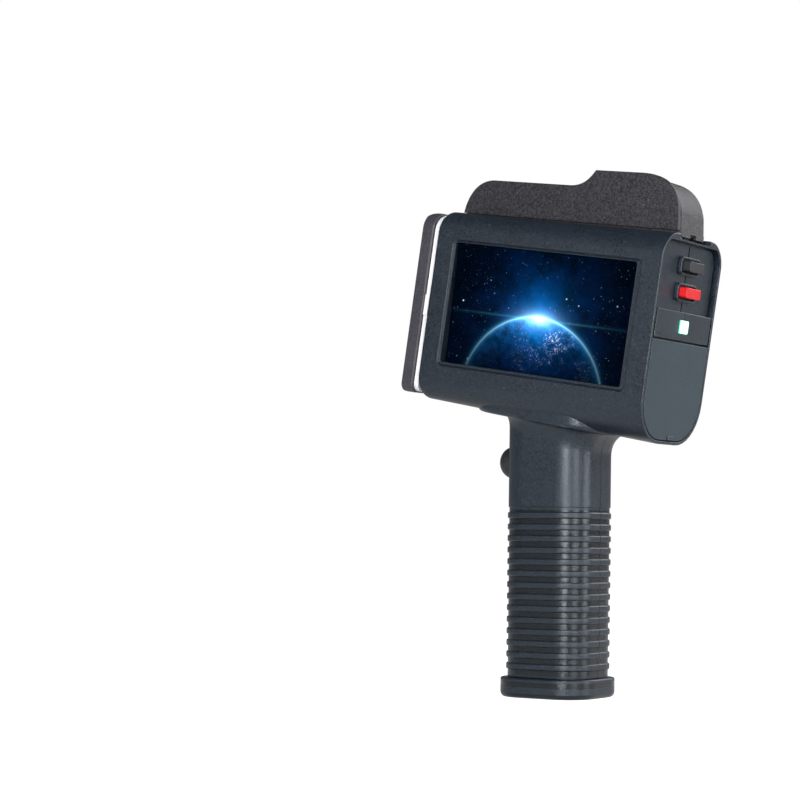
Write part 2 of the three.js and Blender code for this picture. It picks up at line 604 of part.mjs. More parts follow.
function lidPoints(step) {
  const points = lidOutline(step).getPoints(6);
  if (points[0].distanceTo(points[points.length - 1]) < 1e-6) points.pop();
  return points;
}

function addLid() {
  const centre = [LID.hingeX, LID.hingeZ];
  const near = -LID.half + LID.wall;
  const hump = lidPoints(LID.step);
  const levels = [[near - LID.wall / 2, hump]];
  for (let i = 0; i <= ROUND_STEPS - 2; i++) {
    const angle = (i / (ROUND_STEPS - 2)) * Math.PI / 2;
    const y = LID.half - LID.bulge * (1 - Math.sin(angle));
    levels.push([y, lidInset(hump, LID.bulge * (1 - Math.cos(angle)))]);
  }
  const footLine = new THREE.Shape([
    [LID.front - 2, LID.heel - 9], [LID.rear - LID.wall, LID.heel - 9],
    [LID.rear - LID.wall, topAt(LID.rear) + GAP], [LID.front - 2, topAt(LID.front) + GAP],
  ].map(([x, z]) => new THREE.Vector2(x, z)));
  const cheek = cut(
    prism('y', new THREE.Shape(lidPoints(0)), -LID.half, near),
    block([LID.hingeX, LID.rear + 1], [-LID.half - 1, near], [LID.heel - 1, topAt(LID.rear) + LID.lift]));
  const roomShape = new THREE.Shape(lidInset(hump, LID.wall, 3));
  const room = join(
    prism('y', roomShape, near, LID.half - LID.bulge),
    stack([[LID.half - LID.bulge - 1, lidInset(hump, LID.wall, 3)],
      [LID.half - LID.wall - GAP, lidInset(hump, LID.wall + LID.bulge / 3, 3)]]));
  const barrel = (low, high) => rod('y', centre, LID.barrel, low, high);
  const knuckle = LID.lugHalf + 0.4;
  const lugSpace = join(
    block([LID.hingeX - 3, LID.rear - LID.skin], [-knuckle, knuckle],
      [LID.heel - 1, LID.hingeZ + LID.barrel + 0.5]),
    block([LID.hingeX - 3, LID.rear + 1], [-knuckle, knuckle], [LID.heel - 1, LID.hingeZ]));
  const lid = cut(
    join(
      cut(join(cheek, stack(levels)), room, prism('y', footLine, -LID.half - 1, LID.half + 1)),
      barrel(-LID.barrelHalf, -knuckle - 0.1), barrel(knuckle + 0.1, LID.barrelHalf)),
    lugSpace,
    rod('y', centre, PIN.lid + GAP, -PIN.lidHalf - 0.3, PIN.lidHalf + 0.3, BORE_STEPS));
  body.add(part('cartridge_lid', lid, COLOUR.lid, 0.6));
  const pin = rod('y', centre, PIN.lid, -PIN.lidHalf, PIN.lidHalf, BORE_STEPS);
  body.add(part('lid_hinge_pin', pin, COLOUR.steel, 0.3, 1));
}

// ---------------------------------------------------------------- end face
function addButtons() {
  const bothButtons = { select: [BUTTON.zSelect, COLOUR.black], power: [BUTTON.zPower, COLOUR.red] };
  for (const [name, [z, colour]] of Object.entries(bothButtons)) {
    const foot = centred(z, BUTTON.halfY + 1.1, BUTTON.halfZ + 0.9, 1.3);
    const cap = join(
      prism('x', centred(z, BUTTON.halfY, BUTTON.halfZ, 1.3), BODY.floor - 3.5, BUTTON.face, CORNER_STEPS),
      prism('x', foot, BODY.floor - 4.3, BODY.floor - 2.4, CORNER_STEPS));
    body.add(part(`${name}_button`, cap, colour, 0.5));
    const hole = centred(z, COLLAR.halfY - COLLAR.wall, COLLAR.halfZ - COLLAR.wall, COLLAR.radius / 2);
    const collar = cut(
      prism('x', centred(z, COLLAR.halfY, COLLAR.halfZ, COLLAR.radius), BODY.floor + GAP, COLLAR.face),
      prism('x', hole, BODY.floor, COLLAR.face + 1, CORNER_STEPS));
    body.add(part(`${name}_button_collar`, collar, COLOUR.shell, 0.6));
    const plunger = block(
      [SWITCH.back, SWITCH.face], [-SWITCH.half, SWITCH.half], [z - SWITCH.half, z + SWITCH.half]);
    body.add(part(`${name}_switch`, plunger, COLOUR.black, 0.5));
  }
}

function addLamp() {
  const half = LED.halfY - GAP;
  const pipe = block([51.6, LED.face], [-half, half], [LED.bottom + GAP, LED.top - GAP]);
  body.add(part('led_light_pipe', pipe, COLOUR.white, 0.3));
}

function addBatteryDoor() {
  const centre = [DOOR.hingeX, DOOR.hingeZ];
  const sheet = prism('x', section(REAR_END, BODY.rim + GAP), DOOR.back, DOOR.face)
    .intersect(block([50, 70], [-BODY.half, BODY.half], [-60, DOOR.top]));
  const catchTab = block([BODY.floor - 1.5, DOOR.back + 0.5], [-3, 3], [-42.8, -41.2]);
  const barrel = rod('y', centre, DOOR.barrel, -DOOR.barrelHalf, DOOR.barrelHalf);
  const bore = rod('y', centre, PIN.door + GAP, -BODY.half, BODY.half, BORE_STEPS);
  body.add(part('battery_door', cut(join(sheet, catchTab, barrel), bore), COLOUR.door, 0.55));
  const pin = rod('y', centre, PIN.door, -PIN.doorHalf, PIN.doorHalf, BORE_STEPS);
  body.add(part('door_hinge_pin', pin, COLOUR.steel, 0.3, 1));
}

addShells();
addTrigger();
addPrintFace();
addDisplay();
addElectronics();
addCartridge();
addLid();
addButtons();
addLamp();
addBatteryDoor();

export default printer;
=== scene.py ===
# Handheld date-code inkjet printer: the finished surfaces and materials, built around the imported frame.
# Shapes are drawn in millimetres. The head of the printer has its own frame, tilted nose up, and the
# grip stands upright in the object's frame. Everything is scaled to metres when it becomes a piece.
import json
from math import atan2, copysign, cos, pi, radians, sin, sqrt, tau
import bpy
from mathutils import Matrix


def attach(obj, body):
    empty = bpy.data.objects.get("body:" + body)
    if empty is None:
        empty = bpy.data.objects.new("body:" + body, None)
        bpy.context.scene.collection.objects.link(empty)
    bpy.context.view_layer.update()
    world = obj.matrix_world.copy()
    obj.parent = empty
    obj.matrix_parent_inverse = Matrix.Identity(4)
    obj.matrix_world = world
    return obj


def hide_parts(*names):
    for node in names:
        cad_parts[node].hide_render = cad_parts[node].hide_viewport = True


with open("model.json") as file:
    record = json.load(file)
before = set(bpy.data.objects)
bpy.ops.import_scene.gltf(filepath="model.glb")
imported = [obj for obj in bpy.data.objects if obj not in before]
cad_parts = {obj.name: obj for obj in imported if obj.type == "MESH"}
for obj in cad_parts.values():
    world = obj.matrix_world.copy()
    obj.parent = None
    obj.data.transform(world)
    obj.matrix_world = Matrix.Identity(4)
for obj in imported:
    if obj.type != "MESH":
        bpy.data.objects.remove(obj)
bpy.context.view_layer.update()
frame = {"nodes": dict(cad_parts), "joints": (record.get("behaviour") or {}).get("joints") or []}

from types import SimpleNamespace as Sizes

import bmesh
import bpy
from mathutils import Matrix, Vector

MM = 0.001
BODY = "printer_body"

# ---------------- driving sizes
SHELL = Sizes(wall=2.4, front_wall=2.2, nose=4.5, edge=0.7, floor=60.7, rim=1.5, rim_edge=0.35)
FRONT_END = Sizes(top=47.2, bottom=-40.5, upper=7, lower=7)
REAR_END = Sizes(top=48.3, bottom=-45.5, upper=12, lower=20, edge=0.45)
WINDOW = Sizes(left=0.8, right=3, bottom=1.8, top=1.2, bevel=1.5, corner=2.6, back=-22, border=4)
GRIP = Sizes(half_x=21.7, half_y=19, radius=13, wall=2.5)
BASE = Sizes(top=9.0, radius=15, edge=2.3, top_edge=0.8, floor=2.5, foot=3.2)
RIBS = Sizes(count=14, pitch=5.3, height=2.9, top=84.5, rise=0.3, groove=-0.4, edge=0.6, blend=0.08)
FILLET = Sizes(low=117, high=125.6, reach=5, shift=3, low_lean=2.15, high_lean=1.22, steps=12)
FLANGE = Sizes(front=-36.6, rear=30, half=24, corner=14, bottom=125.1, top=140, edge=2.4, lean=1.22)
PLATE = Sizes(upper=8, lower=4, edge_top=4.5, edge_bottom=2, edge_depth=20, seat=2.8)
HAIRLINE = Sizes(heights=(13.1, 7.5, -1.8, -14.7), depth=0.35, half=0.2)
ROLLER = Sizes(axle=1.0, bore=1.3, axle_reach=3.4, groove=0.3, groove_floor=0.15, groove_depth=0.35)
BAY = Sizes(half=12, front=-50, rear=56, floor=30, top=50)
LED = Sizes(half=4, bottom=4.4, top=11, pad_half=25.6, pad_bottom=1.5, pad_top=14.3)
LID = Sizes(front=-54.1, rear=61.8, wall=1.8, step=1.2, bulge=5, heel=47.2, lift=1.5)
HINGE = Sizes(swing=3.7, barrel=1.9, lug_radius=1.6, pin=1, lug=2.4, knuckle=2.8, reach=11.8)
SLOT = Sizes(front=54.6, floor=46, recess_top=45, pad_bottom=43.4)
DOOR = Sizes(top=0.6, thick=1.7, barrel=1.4, barrel_half=26.2, bore=1.0, bed_depth=1.9)
DOOR_HINGE = Vector((61.9, 0, -0.5))       # on the head, in the head's own frame
LATCH = Sizes(half=3, low=-42.8, high=-41.2)
MOAT = Sizes(width=0.9, depth=1.3, shift=-0.6)
BUTTON = Sizes(half_y=6.75, half_z=2.3, radius=0.9, collar_wall=0.9)
TRIGGER = Sizes(radius=7.5, dome=6.5, skirt=2, bore=7.8)
SCREW = Sizes(head=2.8, head_height=2, hole=1.6, shank=1.25, drive_depth=1.1)
SHELL_SCREW = Sizes(boss=2.7, head_boss=4.4, seat=20.1, under=1.7, end=-13)
GRIP_SCREW = Sizes(boss=3.9, seat=14.6, end=-11)
SHELL_SCREWS = [(-51.3, 36), (-48, -34), (55.2, 41), (55.2, -2.2)]
GRIP_SCREWS = [28, 80]
ROLLERS = ["encoder_roller", "guide_roller_upper", "guide_roller_lower"]
CAMERA = Sizes(azimuth=-58.89, rise=-2.57, roll=0.69, target=(-0.24, 0, 118.07), distance=973.2,
               lens=94.62, shift_x=-0.2, shift_y=0.05)
GAP = 0.3
THROUGH = 1                                 # how far a cutter runs past the surface it opens
ARC = 9                                     # straight steps in a quarter turn of an outline
FAR = 200                                   # past everything
SMOOTH_ANGLE = radians(32)

# ---------------- the frame
joints = {joint["name"]: joint for joint in frame["joints"]}


def head_frame():
    """The head's own frame: upright along the encoder roller's axis, and placed by the door's hinge."""
    upright = Vector(joints["encoder_roller_spin"]["axis"]).normalized()
    across = Vector((0, 1, 0))
    along = across.cross(upright)
    turn = Matrix((along, across, upright)).transposed()
    hinge = Vector(joints["battery_door_hinge"]["pos_m"]) / MM
    return Matrix.Translation(hinge - turn @ DOOR_HINGE) @ turn.to_4x4()


HEAD = head_frame()
INTO_HEAD = HEAD.inverted()
UPRIGHT = Matrix.Identity(4)


def node_box(node, place=HEAD):
    """A node's lowest and highest corners in millimetres, in the head's frame or the upright one."""
    inverse = place.inverted()
    points = [inverse @ (vertex.co / MM) for vertex in frame["nodes"][node].data.vertices]
    low = Vector([min(point[axis] for point in points) for axis in range(3)])
    high = Vector([max(point[axis] for point in points) for axis in range(3)])
    return low, high


def node_middle(node, place=HEAD):
    low, high = node_box(node, place)
    return (low + high) / 2


HOUSING = node_box("left_housing")
FRONT, REAR, HALF = HOUSING[0].x, HOUSING[1].x, -HOUSING[0].y
GLASS = node_box("display_glass")
LID_BOX = node_box("cartridge_lid")
LID_HINGE = INTO_HEAD @ (Vector(joints["cartridge_lid_hinge"]["pos_m"]) / MM)


# ---------------- outlines
def arc(centre, radius, start, end, steps=ARC):
    """Points of an arc, both ends included. Angles are in degrees."""
    points = []
    for i in range(steps + 1):
        angle = radians(start + (end - start) * i / steps)
        points.append((centre[0] + radius * cos(angle), centre[1] + radius * sin(angle)))
    return points


def rounded(u0, u1, v0, v1, lower, upper=None, steps=ARC):
    """A rounded rectangle, as a function of how far its sides move inwards."""
    upper = lower if upper is None else upper
    smallest = 0.02

    def outline(inset=0.0):
        low = max(lower - inset, smallest)
        high = max(upper - inset, smallest)
        left, right, foot, head = u0 + inset, u1 - inset, v0 + inset, v1 - inset
        return (arc((right - low, foot + low), low, -90, 0, steps)
                + arc((right - high, head - high), high, 0, 90, steps)
                + arc((left + high, head - high), high, 90, 180, steps)
                + arc((left + low, foot + low), low, 180, 270, steps))
    return outline


def centred(v, half_u, half_v, radius, steps=ARC):
    return rounded(-half_u, half_u, v - half_v, v + half_v, radius, steps=steps)


def circle(u, v, radius):
    steps = 40

    def outline(inset=0.0):
        return arc((u, v), radius - inset, 0, 360 - 360 / steps, steps - 1)
    return outline


def bezier(start, first, second, end, steps):
    """Points of a cubic curve after its start."""
    points = []
    for i in range(1, steps + 1):
        t = i / steps
        weights = ((1 - t) ** 3, 3 * t * (1 - t) ** 2, 3 * t * t * (1 - t), t ** 3)
        points.append(tuple(
            sum(w * p[axis] for w, p in zip(weights, (start, first, second, end))) for axis in range(2)))
    return points


def polygon(points):
    """An anticlockwise outline whose sides all move inwards by the same distance."""
    sharpest = 0.4

    def outline(inset=0.0):
        corners = []
        for i, point in enumerate(points):
            here = Vector(point)
            before = (here - Vector(points[i - 1])).normalized()
            after = (Vector(points[(i + 1) % len(points)]) - here).normalized()
            normal = Vector((-before.y - after.y, before.x + after.x)).normalized()
            reach = inset / max(normal.dot(Vector((-after.y, after.x))), sharpest)
            corners.append(tuple(here + normal * reach))
        return corners
    return outline


# ---------------- levels
# A level is a height along a solid and how far the outline has moved in at that height.
def quarter(steps):
    """Sines and cosines of even steps from 0 to 90 degrees."""
    turns = [pi / 2 * i / steps for i in range(steps + 1)]
    return [(sin(turn), cos(turn)) for turn in turns]


def rounded_end(end, radius, way, steps=3):
    """Levels of the rounded edge at a bar's low end, where way is 1, or at its high end, where it is -1."""
    levels = [(end + way * radius * (1 - cosine), radius * (1 - sine)) for sine, cosine in quarter(steps)]
    return levels[::way]


def rounded_ends(low, high, radius, far_radius=None, steps=3):
    """Levels of a bar whose two ends have rounded edges."""
    far_radius = radius if far_radius is None else far_radius
    return rounded_end(low, radius, 1, steps) + rounded_end(high, far_radius, -1, steps)


def flared(inside, surface, radius):
    """Levels of a cutter that leaves a rounded edge where it comes out through a surface."""
    way = 1 if surface > inside else -1
    levels = [(inside, 0)]
    for sine, cosine in quarter(3):
        levels.append((surface - way * radius * (1 - sine), -radius * (1 - cosine)))
    levels.append((surface + way * THROUGH, -radius))
    return levels


# ---------------- solids
ALONG = {
    "x": lambda u, v, height: (height, u, v),
    "y": lambda u, v, height: (u, height, v),
    "z": lambda u, v, height: (u, v, height),
}


def add_object(name, data):
    thing = bpy.data.objects.new(name, data)
    bpy.context.scene.collection.objects.link(thing)
    return thing


def solid(bm):
    """A plain object, in millimetres, that later becomes a piece or a tool."""
    bmesh.ops.recalc_face_normals(bm, faces=bm.faces)
    mesh = bpy.data.meshes.new("solid")
    bm.to_mesh(mesh)
    bm.free()
    return add_object("solid", mesh)


def skin(rings):
    """A closed solid through rings of points, with a flat face at each end."""
    bm = bmesh.new()
    loops = [[bm.verts.new(point) for point in ring] for ring in rings]
    for lower, upper in zip(loops, loops[1:]):
        for i in range(len(lower)):
            j = (i + 1) % len(lower)
            bm.faces.new((lower[i], lower[j], upper[j], upper[i]))
    bm.faces.new(list(reversed(loops[0])))
    bm.faces.new(loops[-1])
    return solid(bm)


def prism(axis, outline, levels):
    place = ALONG[axis]
    return skin([[place(u, v, height) for u, v in outline(inset)] for height, inset in levels])


def bar(axis, outline, low, high):
    return prism(axis, outline, [(low, 0), (high, 0)])


def rod(axis, u, v, radius, low, high, edge=0.0):
    levels = rounded_ends(low, high, edge) if edge else [(low, 0), (high, 0)]
    return prism(axis, circle(u, v, radius), levels)


def hinge_rod(hinge, radius, half, edge=0.0):
    """A rod along a hinge, equally long on both sides of the middle."""
    return rod("y", hinge.x, hinge.z, radius, -half, half, edge)


def block(x, y, z, edge=0.0):
    """A box between pairs of numbers, with its edges rounded on request."""
    if not edge:
        return bar("z", lambda inset: [(x[0], y[0]), (x[1], y[0]), (x[1], y[1]), (x[0], y[1])], *z)
    return prism("z", rounded(x[0], x[1], y[0], y[1], edge, steps=3), rounded_ends(z[0], z[1], edge))


def spun(profile, place):
    """A closed solid turned about X from (radius, x) points, whose two ends are on the axis."""
    steps = 48
    bm = bmesh.new()
    ends = [bm.verts.new((profile[0][1], 0, 0)), bm.verts.new((profile[-1][1], 0, 0))]
    turns = [tau * i / steps for i in range(steps)]
    loops = []
    for radius, x in profile[1:-1]:
        ring = [(x, radius * cos(turn), radius * sin(turn)) for turn in turns]
        loops.append([bm.verts.new(point) for point in ring])
    for i in range(steps):
        j = (i + 1) % steps
        bm.faces.new((ends[0], loops[0][j], loops[0][i]))
        bm.faces.new((ends[1], loops[-1][i], loops[-1][j]))
        for lower, upper in zip(loops, loops[1:]):
            bm.faces.new((lower[i], lower[j], upper[j], upper[i]))
    shape = solid(bm)
    shape.data.transform(Matrix.Translation(place))
    return shape


def moved(shape, matrix):
    shape.data.transform(matrix)
    return shape


def combine(operation, base, tools):
    """Cuts or joins tools into a solid, one after another, and uses the tools up."""
    for tool in tools:
        modifier = base.modifiers.new("combine", "BOOLEAN")
        modifier.solver = "MANIFOLD"
        modifier.operation = operation
        modifier.object = tool
    graph = bpy.context.evaluated_depsgraph_get()
    mesh = bpy.data.meshes.new_from_object(base.evaluated_get(graph))
    if not mesh.polygons:
        raise RuntimeError("nothing is left after " + operation)
    base.modifiers.clear()
    base.data = mesh
    for tool in tools:
        bpy.data.objects.remove(tool)
    return base


def join(base, *tools):
    return combine("UNION", base, tools)


def cut(base, *tools):
    return combine("DIFFERENCE", base, tools)


def common(base, *tools):
    return combine("INTERSECT", base, tools)


def piece(name, shape, finish, body=BODY, replaces=(), place=HEAD):
    """Turns a solid into a finished piece: in metres, smooth, riding on its body, with its finish's material.
    """
    shape.data.transform(Matrix.Scale(MM, 4) @ place)
    shape.name = name
    shape.data.name = name
    shape.data.materials.clear()
    shape.data.materials.append(finish.material)
    shape.data.shade_smooth()
    shape.data.set_sharp_from_angle(angle=SMOOTH_ANGLE)
    normals = shape.modifiers.new("even shading", "WEIGHTED_NORMAL")
    normals.keep_sharp = True
    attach(shape, body)
    if replaces:
        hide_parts(*replaces)


# ---------------- materials
class Nodes:
    """A node tree, with short calls that add nodes and link them."""

    def __init__(self, tree):
        self.tree = tree

    def node(self, kind, inputs=(), **settings):
        """Adds a node. Its inputs are given in order: None is left alone, and an output is linked."""
        node = self.tree.nodes.new("ShaderNode" + kind)
        for key, value in settings.items():
            setattr(node, key, value)
        for socket, value in zip(node.inputs, inputs):
            self.feed(socket, value)
        return node

    def feed(self, socket, value):
        if isinstance(value, bpy.types.NodeSocket):
            self.tree.links.new(value, socket)
        elif value is not None:
            socket.default_value = value

    def math(self, operation, first, second=None, third=None):
        return self.node("Math", (first, second, third), operation=operation).outputs[0]

    def times(self, first, *others):
        """The product of values."""
        for other in others:
            first = self.math("MULTIPLY", first, other)
        return first

    def spread(self, value, low, high, to_low=0.0, to_high=1.0):
        """Stretches a range of a value onto another range, and stops at its ends."""
        return self.node("MapRange", (value, low, high, to_low, to_high)).outputs[0]


class Shader(Nodes):
    """A material's node tree, with patterns measured in millimetres on the object. Its name is its slot."""

    def __init__(self, name):
        self.slot = name
        self.material = bpy.data.materials.new(name)
        self.material.use_nodes = True
        super().__init__(self.material.node_tree)
        self.surface = self.tree.nodes["Principled BSDF"]
        self.place = self.tree.nodes.new("ShaderNodeTexCoord").outputs["Object"]

    def set(self, **values):
        """Sets or links the surface's sockets; an underscore in a name stands for a space."""
        for key, value in values.items():
            self.feed(self.surface.inputs[key.replace("_", " ")], value)

    def noise(self, size, detail=2.0, rough=0.5):
        """Cloudy noise whose grains are about size millimetres across."""
        node = self.node("TexNoise")
        self.feed(node.inputs["Vector"], self.place)
        self.feed(node.inputs["Scale"], 1 / (size * MM))
        self.feed(node.inputs["Detail"], detail)
        self.feed(node.inputs["Roughness"], rough)
        return node.outputs["Fac"]

    def cells(self, size, feature="F1", place=None, output="Distance"):
        """Cells about size millimetres across: the distance to them, or a random colour for each."""
        node = self.node("TexVoronoi", feature=feature)
        self.feed(node.inputs["Vector"], place or self.place)
        self.feed(node.inputs["Scale"], 1 / (size * MM))
        return node.outputs[output]

    def blend(self, factor, first, second):
        """Mixes two colours, each a tuple of three numbers or an output."""
        node = self.tree.nodes.new("ShaderNodeMix")
        node.data_type = "RGBA"
        for socket, value in zip((node.inputs[0], node.inputs[6], node.inputs[7]), (factor, first, second)):
            self.feed(socket, (*value, 1.0) if isinstance(value, tuple) else value)
        return node.outputs[2]

    def bump(self, height, depth):
        """A bumpy normal whose full height is depth millimetres."""
        node = self.node("Bump")
        node.inputs["Distance"].default_value = depth * MM
        self.feed(node.inputs["Height"], height)
        return node.outputs["Normal"]

    def along(self, direction, start=0.0):
        """How many millimetres a point lies along a direction, less start."""
        vector = tuple(Vector(direction) / MM)
        dot = self.node("VectorMath", (self.place, vector), operation="DOT_PRODUCT").outputs["Value"]
        return self.math("SUBTRACT", dot, start)

    def edges(self, width, low, high):
        """1 on the edges of the shape and 0 on its faces."""
        soft = self.node("Bevel", (width * MM,), samples=4).outputs[0]
        flat = self.tree.nodes.new("ShaderNodeNewGeometry").outputs["Normal"]
        match = self.node("VectorMath", (soft, flat), operation="DOT_PRODUCT").outputs["Value"]
        return self.spread(self.math("SUBTRACT", 1.0, match), low, high)


def scaled(colour, factor):
    return tuple(min(channel * factor, 1.0) for channel in colour)


def moulded(name, colour, grain=0.45, depth=0.035, rough=0.5, contrast=0.35, sparkle=0.0, edge=0.5):
    """Moulded plastic: a fine eroded grain, faint flow marks, pale specks painted in as glints, and edges
    painted paler as wear and as a painted highlight.
    """
    shader = Shader(name)
    fine = shader.noise(grain, 3.0, 0.65)
    broad = shader.noise(26, 3.0)
    grains = shader.spread(fine, 0.38, 0.62)
    tone = shader.blend(grains, scaled(colour, 1 - contrast), scaled(colour, 1 + contrast))
    tone = shader.blend(shader.spread(broad, 0.35, 0.7, 0.0, 0.35), tone, scaled(colour, 1.25))
    if sparkle:
        # Painted glints: pale specks painted into the base colour stand in for light caught by the grain.
        painted_glints = shader.spread(shader.cells(grain * 1.6, output="Color"), 0.86, 1.0, 0.0, sparkle)
        tone = shader.blend(painted_glints, tone, scaled(colour, 3.2))
    if edge:
        # Painted highlight and wear: the edges are painted paler in the base colour.
        wear_and_painted_highlight = shader.times(shader.edges(0.45, 0.01, 0.15), edge)
        tone = shader.blend(wear_and_painted_highlight, tone, scaled(colour, 2.6))
    shader.set(Base_Color=tone)
    mixed = shader.math("ADD", fine, broad)
    shader.set(Roughness=shader.spread(mixed, 0.7, 1.3, rough - 0.07, rough + 0.09))
    bumps = shader.math("ADD", fine, shader.times(shader.noise(grain * 3), 0.6))
    shader.set(Normal=shader.bump(bumps, depth))
    return shader


def metal(name, colour, rough):
    """Plated or turned metal with fine scratches and duller patches."""
    shader = Shader(name)
    shader.set(Metallic=1.0)
    scratches = shader.noise(0.25, 4.0, 0.7)
    patches = shader.noise(4.0)
    shader.set(Base_Color=shader.blend(shader.spread(patches, 0.35, 0.7), scaled(colour, 0.8), colour))
    shader.set(Roughness=shader.spread(patches, 0.3, 0.7, rough - 0.08, rough + 0.12))
    shader.set(Normal=shader.bump(scratches, 0.008))
    return shader


def board_finish(name, colour):
    """Solder mask over copper tracks, with tinned pads."""
    shader = Shader(name)
    tracks = shader.cells(3.2, "DISTANCE_TO_EDGE")
    lines = shader.spread(tracks, 0.03, 0.06, 1.0, 0.0)
    pads = shader.spread(shader.cells(2.6), 0.14, 0.17, 1.0, 0.0)
    tone = shader.blend(lines, colour, scaled(colour, 2.0))
    tone = shader.blend(pads, tone, (0.55, 0.52, 0.45))
    shader.set(Base_Color=tone, Metallic=shader.times(pads, 0.9))
    shader.set(Roughness=shader.spread(shader.noise(1.0), 0.3, 0.7, 0.28, 0.42))
    shader.set(Normal=shader.bump(shader.math("ADD", lines, pads), 0.05))
    return shader


def lamp_finish(name, middle, sides, strength):
    """A lit light pipe: nearly white in the middle of its face, greener down its sides."""
    shader = Shader(name)
    depth = 0.8
    along = HEAD.col[0].xyz
    root = HEAD @ Vector((node_box("led_light_pipe")[1].x - depth, 0, 0))
    face = shader.spread(shader.along(along, root.dot(along)), 0.0, depth)
    cloud = shader.spread(shader.noise(1.4), 0.3, 0.7, 0.85, 1.0)
    glow = shader.blend(face, sides, middle)
    shader.set(Base_Color=glow, Emission_Color=glow, Roughness=0.3)
    shader.set(Emission_Strength=shader.times(cloud, strength))
    return shader


def ribbed_shell():
    """The housing's plastic, glossier in the grooves between the grip's ribs, with painted shade darkening
    the groove floors.
    """
    shader = moulded("shell_plastic", (0.0104, 0.0158, 0.0245), grain=0.55, depth=0.09, rough=0.32,
                     contrast=0.9, sparkle=1.0)
    shader.set(Specular_IOR_Level=0.62, Specular_Tint=(0.88, 0.95, 1.0, 1.0))
    height = shader.along((0, 0, 1), RIBS.top)
    turn = shader.math("FRACT", shader.math("DIVIDE", height, RIBS.pitch))
    groove = shader.spread(turn, 0.44, 0.47, 1.0, 0.0)
    inside = shader.math("LESS_THAN", height, 1.0)
    groove = shader.times(groove, inside)
    rough = shader.surface.inputs["Roughness"].links[0].from_socket
    shader.set(Roughness=shader.math("SUBTRACT", rough, shader.times(groove, 0.16)))
    tone = shader.surface.inputs["Base Color"].links[0].from_socket
    # Painted shade: the groove floors are darkened in the base colour.
    shader.set(Base_Color=shader.blend(groove, tone, (0.002, 0.0035, 0.006)))
    return shader


class LightLayers:
    """Adds coloured light on top of light."""

    def __init__(self, shader, dark):
        self.shader = shader
        self.colour = shader.node("RGB").outputs[0]
        self.colour.default_value = dark

    def add(self, amount, tint):
        layer = self.shader.node("VectorMath", (tint, None, None, amount), operation="SCALE").outputs[0]
        self.colour = self.shader.node("VectorMath", (self.colour, layer), operation="ADD").outputs[0]


def screen_picture():
    """The lit display: a generic planet at sunrise in front of stars, drawn from distances and noise."""
    shader = Shader("screen_panel")
    times = shader.times
    centre = HEAD @ node_middle("display_glass")
    along = HEAD.col[0].xyz
    upright = HEAD.col[2].xyz
    u = shader.along(along, centre.dot(along))
    v = shader.along(upright, centre.dot(upright))

    def far(cu, cv, stretch=1.0):
        """The distance from a spot, with its upright share stretched."""
        du = shader.math("SUBTRACT", u, cu)
        dv = times(shader.math("SUBTRACT", v, cv), stretch)
        way = shader.node("CombineXYZ", (du, dv)).outputs[0]
        return shader.node("VectorMath", (way,), operation="LENGTH").outputs["Value"]

    def fall(distance, length, amount=1.0):
        """amount where distance is 0, fading with it."""
        return times(shader.math("EXPONENT", times(distance, -1 / length)), amount)

    def size_of(value):
        return shader.math("ABSOLUTE", value)

    sun = (0.2, -2.9)
    planet = (-0.4, -40.2)
    planet_radius = 38.3
    above = shader.math("SUBTRACT", far(*planet), planet_radius)
    outside = shader.math("GREATER_THAN", above, 0.0)
    inside = shader.math("SUBTRACT", 1.0, outside)
    to_sun = far(*sun)
    light = LightLayers(shader, (0.0, 0.001, 0.004, 1.0))

    nebula = shader.spread(shader.noise(13, 5.0, 0.65), 0.36, 0.7, 0.08, 1.0)
    light.add(times(fall(to_sun, 10.5, 1.2), nebula, outside), (0.0, 0.1, 0.55))
    clouds = shader.spread(shader.noise(4.5, 6.0, 0.75), 0.4, 0.62, 0.25, 1.0)
    lit = times(inside, clouds)
    light.add(times(lit, fall(size_of(above), 4.4, 2.3), fall(to_sun, 9, 1.9)), (0.02, 0.34, 1.0))
    light.add(times(lit, fall(to_sun, 9, 0.9)), (0.0, 0.11, 0.7))
    light.add(times(fall(size_of(above), 0.42), fall(to_sun, 15, 2.4)), (0.4, 0.9, 1.0))
    light.add(times(fall(size_of(above), 1.5), fall(to_sun, 13, 1.1)), (0.0, 0.35, 1.0))

    light.add(fall(far(*sun, 2.4), 3.2, 2.6), (0.72, 0.95, 1.0))
    light.add(fall(to_sun, 5.0, 1.2), (0.0, 0.36, 1.0))
    streak = fall(size_of(shader.math("SUBTRACT", v, sun[1])), 0.35)
    light.add(times(streak, fall(to_sun, 14, 0.7)), (0.1, 0.6, 1.0))

    towns = shader.spread(shader.noise(1.1, 6.0, 0.85), 0.545, 0.64)
    land = shader.spread(shader.noise(9), 0.44, 0.54)
    night = fall(far(8, -12, 1.4), 6.5, 2.6)
    light.add(times(towns, inside, land, night), (0.85, 0.88, 0.95))

    flat = shader.node("CombineXYZ", (times(u, MM), times(v, MM))).outputs[0]
    for size, width, amount in ((1.5, 0.16, 0.45), (2.8, 0.11, 0.7), (7.0, 0.07, 1.8)):
        spot = shader.spread(shader.cells(size, place=flat), 0.0, width, 1.0, 0.0)
        pick = shader.cells(size, place=flat, output="Color")
        bright = shader.spread(shader.node("SeparateColor", (pick,)).outputs[0], 0.5, 1.0, 0.0, amount)
        light.add(times(spot, bright, outside), (0.75, 0.85, 1.0))

    shader.set(Base_Color=(0.0, 0.0, 0.0, 1.0), Roughness=0.35, Specular_IOR_Level=0.02)
    shader.set(Emission_Color=light.colour, Emission_Strength=1.0)
    return shader


# ---------------- housing
def between(share, first, second):
    return first + (second - first) * share


def top_at(x):
    return between((x - FRONT) / (REAR - FRONT), FRONT_END.top, REAR_END.top)


